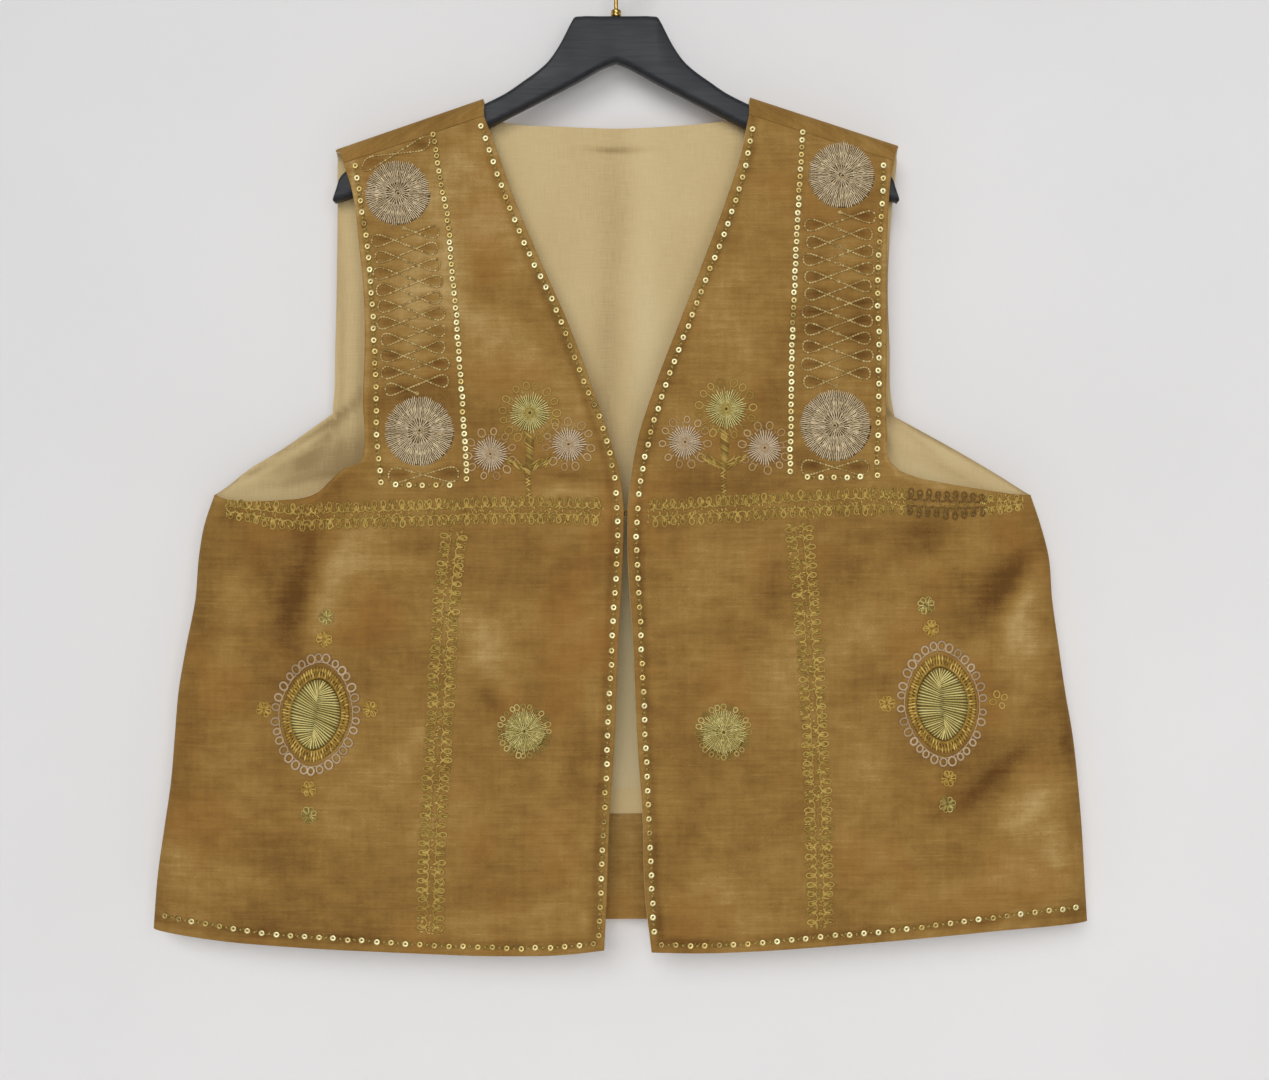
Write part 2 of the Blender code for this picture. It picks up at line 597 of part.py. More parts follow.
def build_hook(group):
    """Brass nut on the bar's head and the wire hook that stands in it."""
    head_top = BAR_UPPER[0].z * MM
    bm = bmesh.new()
    bmesh.ops.create_cone(bm, cap_ends=True, segments=12, radius1=NUT_RADIUS, radius2=NUT_RADIUS,
                          depth=NUT_HEIGHT)
    bmesh.ops.translate(bm, verts=bm.verts, vec=(0.0, 0.0, head_top + GAP + NUT_HEIGHT / 2))
    mesh = bpy.data.meshes.new("hanger_nut")
    bm.to_mesh(mesh)
    bm.free()
    place("hanger_nut", mesh, group, "brass")
    hook = curve_object("hanger_hook", group, "brass")
    hook.data.bevel_depth = WIRE_RADIUS
    hook.data.bevel_resolution = 2
    hook.data.use_fill_caps = True
    poly_spline(hook.data, hook_path(head_top + 2 * GAP + NUT_HEIGHT))


def closure_path(start_x, end_x, y):
    """A flat wire loop: two legs sewn to the lining and a round end over the gap."""
    half = CLOSURE_WIDTH / 2
    toward = 1.0 if end_x > start_x else -1.0
    path = [(start_x, y, CLOSURE_Z - half)]
    for angle in np.linspace(-pi / 2, pi / 2, 7):
        path.append((end_x - toward * half + toward * half * cos(angle), y,
                     CLOSURE_Z + half * sin(angle)))
    path.append((start_x, y, CLOSURE_Z + half))
    return path


def build_closure(group):
    """Hook on the left front's lining and eye on the right front's, lapped at the gap."""
    x = LEFT_EDGES.centre[-1].x * MM
    cloth = VELVET + GAP + LINING
    plane = float(surface_y(np.array(x), np.array(CLOSURE_Z), -1)) + cloth + GAP + CLOSURE_WIRE
    lap = 3.0 * MM
    stops = {"closure_hook": (x + lap - CLOSURE_LENGTH, x + lap, plane),
             "closure_eye": (x + CLOSURE_LENGTH, x, plane + 2 * CLOSURE_WIRE + GAP)}
    for name, (start_x, end_x, y) in stops.items():
        item = curve_object(name, group, "brass")
        item.data.bevel_depth = CLOSURE_WIRE
        item.data.bevel_resolution = 1
        item.data.use_fill_caps = True
        poly_spline(item.data, closure_path(start_x, end_x, y))


def main():
    clear_scene()
    parts = collection("embroidered_waistcoat_on_a_hanger")
    cutters = collection("outlines")
    panels = build_cloth(parts)
    build_motifs(panels, parts, cutters)
    build_bar(parts)
    build_hook(parts)
    build_closure(parts)


main()
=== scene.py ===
from collections import namedtuple
from math import asin, cos, pi, radians, sin, sqrt

import bpy
import numpy as np
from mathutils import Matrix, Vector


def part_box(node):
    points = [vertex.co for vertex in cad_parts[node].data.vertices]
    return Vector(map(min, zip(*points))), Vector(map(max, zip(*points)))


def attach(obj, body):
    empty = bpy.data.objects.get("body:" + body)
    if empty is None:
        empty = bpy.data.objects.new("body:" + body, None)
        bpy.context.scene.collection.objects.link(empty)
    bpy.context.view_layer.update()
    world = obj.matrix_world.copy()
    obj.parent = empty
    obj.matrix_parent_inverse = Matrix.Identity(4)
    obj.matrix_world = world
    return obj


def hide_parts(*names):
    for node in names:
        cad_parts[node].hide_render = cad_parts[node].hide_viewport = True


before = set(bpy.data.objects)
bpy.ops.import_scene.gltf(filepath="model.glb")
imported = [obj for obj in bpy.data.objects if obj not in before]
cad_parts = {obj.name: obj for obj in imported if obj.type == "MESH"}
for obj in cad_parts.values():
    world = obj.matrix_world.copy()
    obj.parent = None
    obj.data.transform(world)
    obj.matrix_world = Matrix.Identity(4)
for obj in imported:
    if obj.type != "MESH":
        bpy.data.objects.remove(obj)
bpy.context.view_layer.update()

# Velvet panels: two fronts, and a back that comes forward over both shoulders.
# Cotton velvet about 1.6 mm thick, with long flat slubs across and a worn, cloudy nap. Each
# panel is cut whole; the three make one flattened tube that hangs from the coat hanger.

MM = 0.001
VELVET = 1.6 * MM
TURNED_EDGE = 0.5 * MM
TURNED_EDGE_ANGLE = 60.0
SEAM_GAP = 0.3 * MM
SHOULDER_DEPTH = 12.0 * MM
SEAM_DROP = 4.5 * MM
CHEST_REACH = 220.0 * MM
SIDE_SEAM_Y = -3.0 * MM
FRONT, BACK = -1, 1

Ridge = namedtuple("Ridge", "neck_x neck_z arm_x arm_z seam_neck_x seam_arm_x")
RIDGE_LEFT = Ridge(-104.0, -136.0, -220.0, -176.0, -102.5, -212.0)
RIDGE_RIGHT = Ridge(105.0, -135.0, 221.5, -173.0, 103.5, 216.5)

# Millimetres: side seams and half depths of the tube at each height
Section = namedtuple("Section", "z left right front back")
SECTIONS = (
    Section(-446, -314, 324, 23, 17),
    Section(-470, -322, 332, 23, 17),
    Section(-493, -326, 338, 24, 18),
    Section(-528, -329, 341, 24, 18),
    Section(-564, -336, 346, 25, 18),
    Section(-599, -342, 351, 25, 18),
    Section(-634, -345, 357, 24, 18),
    Section(-670, -348, 361, 24, 17),
    Section(-705, -353, 364, 23, 17),
    Section(-740, -358, 366, 23, 16),
    Section(-790, -362, 369, 22, 16),
)

# Millimetres: the cut edges as rows of x and z, from the bottom up or from the centre outwards
Edges = namedtuple("Edges", "hem centre neck arm_upright arm_level")
LEFT_EDGES = Edges(
    hem=((-8.8, -797), (-40, -800.4), (-90, -801.4), (-167, -798.8), (-245, -795.4),
         (-306, -791.3), (-361.6, -785)),
    centre=((-8.8, -797), (-7, -758), (-4.7, -693), (-1.2, -642), (2.4, -553), (5.5, -494),
            (6.3, -459)),
    neck=((6.3, -459), (3.2, -431), (-4.5, -404), (-20, -358), (-38, -311.5), (-58.6, -265),
          (-78, -219), (-92, -180)),
    arm_upright=((-221, -437), (-210, -427), (-196, -420.8), (-194, -412), (-194.5, -374),
                 (-193.7, -322), (-195, -291), (-198.5, -259), (-206.5, -205)),
    arm_level=((-221, -437), (-230, -445), (-240, -448.8), (-257, -450.5), (-282, -451.5),
               (-299, -450.5), (-314, -446)))
RIGHT_EDGES = Edges(
    hem=((27.7, -798.5), (60, -799.2), (104, -797.9), (160, -794.2), (220, -789.5), (297, -783),
         (368.4, -779)),
    centre=((27.7, -798.5), (23, -758), (20.7, -693), (17, -642), (13, -553), (9.4, -494),
            (9.2, -459)),
    neck=((9.2, -459), (12, -431), (17, -404), (32, -358), (50, -311.5), (68, -265), (85, -219),
          (97.5, -180)),
    arm_upright=((218, -428), (210.5, -420), (208.6, -400), (209, -330), (209, -295), (210, -259),
                 (212, -218), (214, -198)),
    arm_level=((218, -428), (228, -432), (250, -437), (278, -441.5), (298, -444.5), (312, -446),
               (324, -446)))
BACK_HEM = ((-361.6, -785), (-180, -783), (0, -781), (180, -780), (368.4, -779))
BACK_NECK = ((-85, -152.5), (-42, -155), (0, -156.6), (45, -154.5), (82, -151))
BACK_ARM_LEFT = ((-224.3, -382), (-223, -368), (-222, -330), (-221, -292), (-220, -217))
BACK_ARM_RIGHT = ((219.8, -384), (217, -368), (216, -330), (214.5, -284), (218, -217))
BACK_SLOPE_LEFT = ((-314, -446), (-303.5, -438), (-290, -426.5), (-264, -410.5), (-243, -395.5),
                   (-224.3, -382))
BACK_SLOPE_RIGHT = ((324, -446), (306.5, -434.3), (280.3, -418), (248, -399.5), (219.8, -384))

# Millimetres: the creases of each face, each a trough from one x and z to another, then its
# depth and width; a negative depth is a ridge
CREASES = {
    FRONT: (
        (-219, -462, -245, -520, 5.5, 17), (-245, -520, -263, -586, 4.5, 17),
        (-300, -470, -276, -506, 3.0, 14), (-190, -480, -205, -560, -3.0, 20),
        (-70, -566, -97, -600, 3.0, 17), (-97, -600, -123, -661, 3.5, 17),
        (-82, -530, -106, -581, -3.0, 18), (-120, -335, -43, -358, -2.0, 18),
        (322, -487, 286, -518, 3.5, 16), (286, -518, 268, -546, 4.0, 16),
        (246, -470, 250, -520, 3.0, 17), (306, -660, 285, -691, 2.5, 16),
        (120, -520, 135, -620, -2.5, 22), (-47, -428, -18, -424, 0.9, 5),
        (-195, -205, -150, -178, 0.7, 6), (-150, -178, -112, -190, 0.8, 8),
        (-118, -300, -60, -322, 0.8, 9), (-255, -470, -238, -530, -1.2, 8),
        (-282, -480, -268, -560, 0.9, 8), (-300, -560, -318, -690, 0.8, 14),
        (-170, -600, -182, -740, -0.8, 16), (-60, -690, -40, -770, 0.7, 12),
        (-30, -500, -36, -600, -0.7, 12), (190, -190, 160, -176, 0.6, 7),
        (116, -260, 80, -300, 0.8, 12), (60, -470, 48, -560, 0.7, 13),
        (205, -500, 190, -640, -0.9, 18), (300, -560, 325, -720, 0.9, 18),
        (62, -680, 50, -770, -0.7, 13), (270, -452, 262, -500, 0.9, 9),
    ),
    BACK: (
        (-150, -330, -210, -470, 3.5, 24), (150, -330, 215, -480, 3.5, 24),
        (-60, -520, -75, -760, 2.5, 26), (80, -540, 90, -760, 2.5, 26),
        (-300, -500, -250, -640, 1.5, 22), (300, -500, 260, -650, 1.5, 22),
        (-20, -158, 24, -160, 0.5, 5), (-30, -200, 10, -420, 0.8, 26),
        (-110, -175, -60, -240, 1.0, 14), (105, -175, 58, -250, 1.0, 14),
        (-190, -520, -160, -700, -1.0, 24), (190, -500, 170, -720, -1.0, 24),
    ),
}
RIPPLE = 0.22 * MM

# Millimetres: where each face is painted lighter or darker, as ovals: x, z, half length,
# half width, angle in degrees and tone. On the velvet they are partly its nap and partly painted
# shade in creases and troughs and painted highlight on the lit sides of folds; the back's are
# mostly painted shade under the armholes and along creases, and painted light in the slit
NAPS_AND_PAINTED_SHADE = {
    FRONT: (
        (-89, -322, 48, 17, -35, 0.55), (-155, -300, 24, 62, 0, 0.5),
        (-158, -368, 30, 9, 5, -0.55), (-108, -270, 12, 42, 10, -0.35),
        (-166, -172, 60, 8, 19, 0.35), (-90, -205, 34, 16, 30, -0.2),
        (-31, -433, 30, 5, -8, -0.65), (-50, -445, 34, 5, -4, 0.3), (-112, -441, 36, 7, 4, -0.35),
        (-182, -500, 58, 24, 15, 0.45), (-266, -512, 50, 15, -64, -0.55),
        (-236, -484, 26, 12, -40, -0.45), (-226, -540, 16, 46, -20, 0.35),
        (-245, -592, 18, 10, 40, -0.45), (-330, -600, 10, 90, -8, -0.4),
        (-300, -560, 10, 50, -8, 0.3), (-264, -724, 50, 16, -10, -0.45),
        (-162, -648, 34, 10, 62, 0.6), (-195, -660, 30, 26, 30, 0.25),
        (-309, -742, 50, 20, 5, 0.35), (-152, -484, 46, 8, 4, -0.4),
        (-104, -560, 52, 16, -62, 0.4), (-92, -612, 50, 8, -62, -0.45),
        (-43, -530, 52, 12, 80, -0.3), (-30, -665, 60, 10, 86, -0.25),
        (-74, -735, 56, 22, 4, -0.15), (-110, -770, 60, 10, 0, 0.2),
        (-20, -600, 30, 10, 84, 0.25), (-115, -235, 50, 75, 0, 0.9), (110, -255, 50, 85, 0, 0.22),
        (103, -250, 56, 18, 84, 0.25), (66, -332, 40, 20, 70, 0.35),
        (120, -362, 36, 14, 78, -0.35), (112, -190, 26, 14, 20, -0.15),
        (172, -300, 26, 60, 0, 0.15), (84, -440, 46, 6, 2, -0.3), (314, -533, 50, 10, 69, 0.8),
        (316, -580, 46, 13, 80, 0.45), (302, -515, 46, 11, 50, -0.85),
        (292, -580, 40, 12, 78, -0.35), (247, -500, 42, 11, 12, 0.5),
        (240, -473, 34, 10, 2, -0.45), (205, -530, 30, 30, 0, 0.2), (286, -668, 34, 8, 40, -0.85),
        (318, -690, 34, 12, 40, 0.55), (322, -738, 44, 20, 12, 0.55), (258, -752, 40, 12, 6, 0.4),
        (216, -700, 42, 24, 10, -0.35), (186, -628, 26, 40, 0, 0.25), (80, -560, 34, 42, 0, 0.15),
        (118, -530, 56, 12, 84, -0.3), (56, -700, 60, 14, 80, -0.2), (100, -740, 46, 22, 8, 0.2),
        (309, -770, 16, 4, 40, 0.6), (318, -762, 14, 4, 30, -0.5), (352, -640, 8, 120, 4, -0.35),
        (300, -640, 14, 30, 20, 0.2), (-249, -530, 62, 15, 76, -0.62),
        (-222, -508, 34, 11, 70, 0.45),
    ),
    BACK: (
        (-180, -400, 30, 80, -20, -0.4), (180, -400, 30, 80, 20, -0.4),
        (-20, -300, 60, 90, 0, 0.25), (-222, -418, 34, 12, 20, -0.9), (2, -173, 24, 2.5, 3, -1.0),
        (-6, -330, 170, 14, 88, -0.7), (24, -330, 170, 12, 91, 0.3),
        (-216.5, -300, 100, 2, 90, -0.4), (-200, -310, 110, 3, 88, -0.35),
        (-226, -396, 46, 4, 52, -0.9), (-262, -424, 44, 6, 24, -0.7),
        (-240, -432, 60, 5, 12, -0.6), (-300, -438, 24, 5, 20, 0.5), (214, -330, 90, 3, 90, -0.6),
        (262, -428, 44, 5, -26, -0.5), (236, -402, 30, 4, -40, -0.5), (5, -745, 60, 60, 0, 0.15),
        (6, -585, 26, 115, 0, 1.5), (-268, -415, 58, 1.6, 33, -2.2),
        (271, -414, 62, 1.6, -31, -2.2), (-219.5, -300, 2, 90, 0, -0.8),
        (214, -300, 2, 90, 0, -1.0), (-120, -620, 40, 90, 6, 0.3), (140, -650, 44, 90, -6, 0.3),
        (20, -700, 40, 60, 0, -0.25),
    ),
}

# Millimetres: the looped lines of each shoulder panel, and how many loops go to each side
Figure = namedtuple("Figure", "top_x top_z foot_x foot_z reach half_height slope loops")
FIGURES = (
    Figure(-164.0, -240.0, -152.5, -369.0, 25.5, 5.7, 0.0, 10),
    Figure(-171.0, -181.6, -171.0, -181.6, 25.2, 4.8, 0.37, 1),
    Figure(-148.0, -431.5, -148.0, -431.5, 26.0, 5.4, 0.02, 1),
    Figure(173.5, -227.5, 169.5, -363.5, 26.5, 5.7, 0.0, 10),
    Figure(168.0, -425.8, 168.0, -425.8, 25.0, 5.4, 0.0, 1),
)
DENT_DEPTH = 0.75 * MM
ROLL_DEPTH = 0.4 * MM

# Millimetres in from the turned edges: the place and half width of each bell over them
RIM = (2.4, 2.0)
STITCHED_ROW = (8.6, 3.2)
ARMHOLE_ROLL = (2.2, 1.8)

# How much darker the velvet is painted in creases, dents and the stitched row, as painted
# shade, or lighter on the rim and the rolls, as painted highlight
PAINTED_SHADE_PER_CREASE = -0.05
PAINTED_SHADE_IN_DENTS = 0.85
PAINTED_HIGHLIGHT_ON_RIM = 0.05
PAINTED_SHADE_IN_ROW = 0.5
PAINTED_HIGHLIGHT_ON_ROLL = 0.5
OUTERMOST_BACK_NAP_AND_SHADE = 0.3

# Cells of the fine grids
FRONT_INNER_CELLS = 96
FRONT_SIDE_CELLS = 34
FRONT_LOWER_ROWS = 100
FRONT_UPPER_CELLS = 144
BACK_SIDE_CELLS = 18
BACK_SHOULDER_CELLS = 32
BACK_NECK_CELLS = 46
BACK_UPPER_CELLS = 76
BACK_TURNUP_TOP = 0.2085
BACK_TURNUP_ROWS = 22
BACK_LOWER_ROWS = 78
WRAP_CELLS = 14
WRAP_NARROWS_FROM = 90.0
HEM_SPLIT = 0.66
BACK_SIDE_SHARE = 0.155
BACK_NECK_SHARES = (0.335, 0.66)
BACK_NECK_X = 110 * MM
SIDE_BEND_START = 0.7

Patch = namedtuple("Patch", "points normals cut")


def reach_along(points):
    """Distance of each point from the first one, along the path."""
    return np.concatenate(([0.0], np.cumsum(np.hypot(*np.diff(points, axis=0).T))))


def smooth_curve(knots, steps, values, at):
    """A curve through the values at its knots, a cubic over each step between two of them that
    leaves and arrives with the slopes of the values there.
    """
    slope = np.gradient(values, knots, axis=0)
    cell = np.clip(np.searchsorted(knots, at, side="right") - 1, 0, len(steps) - 1)
    step = steps[cell]
    t = (at - knots[cell]) / step
    if values.ndim > 1:
        step, t = step[:, None], t[:, None]
    return ((2 * t**3 - 3 * t**2 + 1) * values[cell]
            + (t**3 - 2 * t**2 + t) * (step * slope[cell])
            + (3 * t**2 - 2 * t**3) * values[cell + 1] + (t**3 - t**2) * (step * slope[cell + 1]))


def along(rows, shares):
    """Points at shares of the way along a smooth curve through rows of millimetres, in metres."""
    points = np.array(rows, dtype=float) * MM
    steps = np.hypot(*np.diff(points, axis=0).T)
    reach = reach_along(points)
    return smooth_curve(reach, steps, points, np.asarray(shares, dtype=float) * reach[-1])


def section_value(z, column):
    """A column of the section table at height z: a smooth curve, level past both ends."""
    heights = np.array([row.z for row in SECTIONS[::-1]]) * MM
    values = np.array([getattr(row, column) for row in SECTIONS[::-1]]) * MM
    return smooth_curve(heights, np.diff(heights), values, np.clip(z, heights[0], heights[-1]))


def ridge_of(x):
    """Height of the shoulder ridge over x: one straight line for each shoulder."""
    heights = []
    for ridge in (RIDGE_LEFT, RIDGE_RIGHT):
        slope = (ridge.arm_z - ridge.neck_z) / (ridge.arm_x - ridge.neck_x)
        heights.append(ridge.neck_z * MM + slope * (x - ridge.neck_x * MM))
    return np.where(x < 0, heights[0], heights[1])


def across(x, z):
    """Where x lies between the side seams, from -1 to 1."""
    left = section_value(z, "left")
    right = section_value(z, "right")
    return np.clip((x - (left + right) / 2) / ((right - left) / 2), -1.0, 1.0)


def looped_line(figure, turn):
    """A chain-stitch line: a swing to each side that dips before it returns higher, so that
    neighbouring strands cross in the middle, while the whole line works its way down.
    """
    share = turn / (figure.loops * 2 * pi)
    swing = figure.reach * (1 + 0.05 * np.sin(turn * 0.37 + 1.0)) * np.sin(turn)
    x = figure.top_x + (figure.foot_x - figure.top_x) * share + swing
    z = figure.top_z + (figure.foot_z - figure.top_z) * share + figure.slope * swing
    rise = np.sin(2 * turn) - 0.16 * np.sin(4 * turn)
    return np.stack([x, z - figure.half_height * rise], axis=-1) * MM


def dents(x, z):
    """Hollows in the pile inside the loops, a soft oval in each half swing."""
    total = np.zeros(np.broadcast(x, z).shape)
    for figure in FIGURES:
        turn = (np.arange(figure.loops * 2) + 0.5) * pi
        middles = looped_line(figure, turn)
        inwards = -0.34 * figure.reach * MM * np.sin(turn)
        for (mid_x, mid_z), step in zip(middles, inwards):
            wide = (x - mid_x - step) / (0.34 * figure.reach * MM)
            high = (z - mid_z - figure.slope * step) / (3.6 * MM)
            total = total + DENT_DEPTH * np.exp(-wide**2 - high**2)
    return total


def bell(distance, place, width):
    """A soft hump, 1 at its place and nearly 0 from twice its width on."""
    return np.exp(-((distance - place) / width)**2)


def edge_roll(x, z):
    """Shares of the turned edges: the rounded rim along hems and front edges, the sunken row
    of stitches inside it and the rolled armhole, each a bell over the distance to its edge.
    """
    rim = row = roll = 0.0
    for edges, side in ((LEFT_EDGES, -1), (RIGHT_EDGES, 1)):
        hem = np.array(sorted(edges.hem)) * MM
        front = np.array(edges.centre + edges.neck[1:]) * MM
        above = z - np.interp(x, hem[:, 0], hem[:, 1])
        inside = side * (x - np.interp(z, front[:, 1], front[:, 0]))
        reach = np.minimum(above, inside) / MM
        rim = rim + bell(reach, *RIM)
        row = row + bell(reach, *STITCHED_ROW)
        level = np.array(sorted(edges.arm_level)) * MM
        upright = np.array(edges.arm_upright) * MM
        below = np.interp(x, level[:, 0], level[:, 1]) - z
        beside = side * (np.interp(z, upright[:, 1], upright[:, 0]) - x)
        roll = roll + bell(np.maximum(below, beside) / MM, *ARMHOLE_ROLL)
    return rim, row, roll


def nap_and_shade_tone(x, z, face):
    """Sum of one face's naps and painted shade, each a soft oval, less a share of the creases."""
    # Painted shade in creases, dents and the sunken stitched row; painted highlight on the rolled
    # rim and the armhole roll
    total = PAINTED_SHADE_PER_CREASE * crease_depth(x, z, face) / MM
    if face == FRONT:
        rim, row, roll = edge_roll(x, z)
        total = total - PAINTED_SHADE_IN_DENTS * dents(x, z - 1.0 * MM) / DENT_DEPTH + PAINTED_HIGHLIGHT_ON_RIM * rim
        total = total - PAINTED_SHADE_IN_ROW * row + PAINTED_HIGHLIGHT_ON_ROLL * roll
    # Ovals of nap, and of painted shade and painted highlight over folds, troughs, edges and the
    # slit
    for nap_x, nap_z, half_length, half_width, degrees, tone in NAPS_AND_PAINTED_SHADE[face]:
        angle = radians(degrees)
        dx, dz = x - nap_x * MM, z - nap_z * MM
        u = (dx * cos(angle) + dz * sin(angle)) / (half_length * MM)
        v = (dz * cos(angle) - dx * sin(angle)) / (half_width * MM)
        total = total + tone * np.exp(-u**2 - v**2)
    return total


def crease_depth(x, z, face):
    """Sum of the creases of one face, each a bell over the distance to its line, and a ripple.

    The ripple is a product of two slow waves that bend each other, so it never repeats.
    """
    total = np.zeros(np.broadcast(x, z).shape)
    if face == FRONT:
        rim, row, roll = edge_roll(x, z)
        total = dents(x, z) + ROLL_DEPTH * (row - 0.7 * rim - 0.5 * roll)
    for start_x, start_z, end_x, end_z, depth, width in CREASES[face]:
        x0, z0 = start_x * MM, start_z * MM
        dx, dz = end_x * MM - x0, end_z * MM - z0
        share = np.clip(((x - x0) * dx + (z - z0) * dz) / (dx * dx + dz * dz), 0.0, 1.0)
        apart = np.hypot(x - x0 - share * dx, z - z0 - share * dz)
        total = total + depth * MM * bell(apart, 0.0, width * MM)
    wave = np.sin(71 * x + 1.7 * np.sin(23 * z)) * np.sin(53 * z + 1.9 * np.sin(31 * x) + 1.0)
    return total + RIPPLE * wave


def fall(x, z):
    """How far below the shoulder a point hangs, easing from 0 at the ridge to 1 at the chest."""
    share = np.clip((ridge_of(x) - SHOULDER_DEPTH - z) / CHEST_REACH, 0.0, 1.0)
    return share * share * (3 - 2 * share)


def half_depth(x, z, face):
    eased = fall(x, z)
    body = section_value(z, "front" if face == FRONT else "back")
    settled = np.clip(eased * 6, 0.0, 1.0)
    return SHOULDER_DEPTH + (body - SHOULDER_DEPTH) * eased - settled * crease_depth(x, z, face)


def surface_y(x, z, face):
    """Depth of the outer surface: a flattened oval's height above the plane of the side seams."""
    rise = half_depth(x, z, face) * np.sqrt(1.0 - across(x, z)**4)
    return SIDE_SEAM_Y * fall(x, z) + face * (SEAM_GAP / 2 + rise)


def body_level(x, y, z, face):
    """Zero on the outer surface and more outside it."""
    height = face * (y - SIDE_SEAM_Y * fall(x, z)) - SEAM_GAP / 2
    return across(x, z)**4 + (height / half_depth(x, z, face))**2


def wrap_radius(x):
    """Radius of the cloth over the shoulder, smaller towards the sides."""
    return SEAM_GAP / 2 + SHOULDER_DEPTH * np.sqrt(1.0 - across(x, np.zeros_like(x))**4)


def wrap_centre(x):
    return ridge_of(x) - wrap_radius(x)


def wrap_level(x, y, z, face):
    return (y**2 + (z - wrap_centre(x))**2 - wrap_radius(x)**2) / SHOULDER_DEPTH**2


def unit(vectors):
    return vectors / np.linalg.norm(vectors, axis=-1, keepdims=True)


def outward(level, x, y, z, face):
    """Unit normals, from the slope of a level function."""
    step = 0.05 * MM
    slope = np.stack([level(x + step, y, z, face) - level(x - step, y, z, face),
                      level(x, y + step, z, face) - level(x, y - step, z, face),
                      level(x, y, z + step, face) - level(x, y, z - step, face)], axis=-1)
    return unit(slope)


def skin(plan, face):
    """Lay a flat plan of x and z onto the front or back of the tube; the plan is its flat cut."""
    x, z = plan[..., 0], plan[..., 1]
    y = surface_y(x, z, face)
    return Patch(np.stack([x, y, z], axis=-1), outward(body_level, x, y, z, face), plan)


def even_steps(cells, fineness=1.0):
    return np.linspace(0.0, 1.0, int(cells * fineness) + 1)


def coons(bottom, top, inner, outer, shares):
    """Plan filled in between four edges: the two straight blends less their shared corners."""
    v = np.asarray(shares)[:, None, None]
    u = np.linspace(0.0, 1.0, len(bottom))[None, :, None]
    plan = (1 - v) * bottom[None] + v * top[None]
    plan = plan + (1 - u) * (inner[:, None] - (1 - v) * bottom[0] - v * top[0])
    return plan + u * (outer[:, None] - (1 - v) * bottom[-1] - v * top[-1])


def side_shares(cells):
    """Shares that crowd towards the side seam, where the tube bends round."""
    angles = np.linspace(asin(SIDE_BEND_START**2), pi / 2, cells + 1)
    return (np.sqrt(np.sin(angles)) - SIDE_BEND_START) / (1 - SIDE_BEND_START)


def side_edge(column, bottom_z, top_z, shares):
    z = bottom_z + (top_z - bottom_z) * np.asarray(shares)
    return np.stack([section_value(z, column), z], axis=-1)


def join(first, second):
    return np.concatenate([first, second[1:]])


def seam_point(x):
    """Where the front's shoulder seam lies, at x in millimetres."""
    return x, float(wrap_centre(np.array(x * MM)) - SEAM_DROP) / MM


def front_patches(edges, ridge, column, fineness):
    """Lower patch, hem to underarm, and upper patch, neck edge to armhole."""
    rows = even_steps(FRONT_LOWER_ROWS, fineness)
    inner = even_steps(FRONT_INNER_CELLS, fineness)
    outer = side_shares(int(FRONT_SIDE_CELLS * fineness))
    hem = join(along(edges.hem, inner * HEM_SPLIT),
               along(edges.hem, HEM_SPLIT + outer * (1 - HEM_SPLIT)))
    chest = along((edges.neck[0], edges.arm_upright[0]), inner)
    waist = join(chest, along(edges.arm_level, outer))
    side = side_edge(column, hem[-1][1], waist[-1][1], rows)
    hem[-1] = side[0]
    waist[-1] = side[-1]
    lower = coons(hem, waist, along(edges.centre, rows), side, rows)
    climb = even_steps(FRONT_UPPER_CELLS, fineness)
    neck = along((*edges.neck, seam_point(ridge.seam_neck_x)), climb)
    arm = along((*edges.arm_upright, seam_point(ridge.seam_arm_x)), climb)
    seam_x = (ridge.seam_neck_x + (ridge.seam_arm_x - ridge.seam_neck_x) * inner) * MM
    seam = np.stack([seam_x, wrap_centre(seam_x) - SEAM_DROP], axis=-1)
    upper = coons(chest, seam, neck, arm, climb)
    if column == "left":
        lower, upper = lower[:, ::-1], upper[:, ::-1]
    return skin(lower, FRONT), skin(upper, FRONT)


def wrap_patch(ridge, share):
    """The back's cloth over a shoulder: half a turn about the ridge, then down to the seam."""
    angle = np.concatenate([np.linspace(0.0, 180.0, WRAP_CELLS + 1), [180.0]])[:, None]
    drop = np.concatenate([np.zeros(WRAP_CELLS + 1), [SEAM_DROP - 0.4 * SEAM_GAP]])[:, None]
    narrowing = np.clip((angle - WRAP_NARROWS_FROM) / (190.0 - WRAP_NARROWS_FROM), 0.0, 1.0)
    narrowing[-1] = 1.0
    neck_x = ridge.neck_x + (ridge.seam_neck_x - ridge.neck_x) * narrowing
    arm_x = ridge.arm_x + (ridge.seam_arm_x - ridge.arm_x) * narrowing
    x = (neck_x + (arm_x - neck_x) * share[None, :]) * MM
    turn = np.radians(np.broadcast_to(angle, x.shape))
    radius = wrap_radius(x)
    y = radius * np.cos(turn)
    z = wrap_centre(x) + radius * np.sin(turn) - drop
    normals = outward(wrap_level, x, y, z, BACK)
    normals[-1] = normals[-2]
    cut = np.stack([x, wrap_centre(x) + radius * turn + drop], axis=-1)
    return Patch(np.stack([x, y, z], axis=-1), normals, cut)


def spans(xs, cells):
    """Values that divide each stretch between the given ones into its number of cells."""
    parts = [np.linspace(a, b, n + 1)[:-1] for a, b, n in zip(xs, xs[1:], cells)]
    return np.concatenate(parts + [[xs[-1]]])


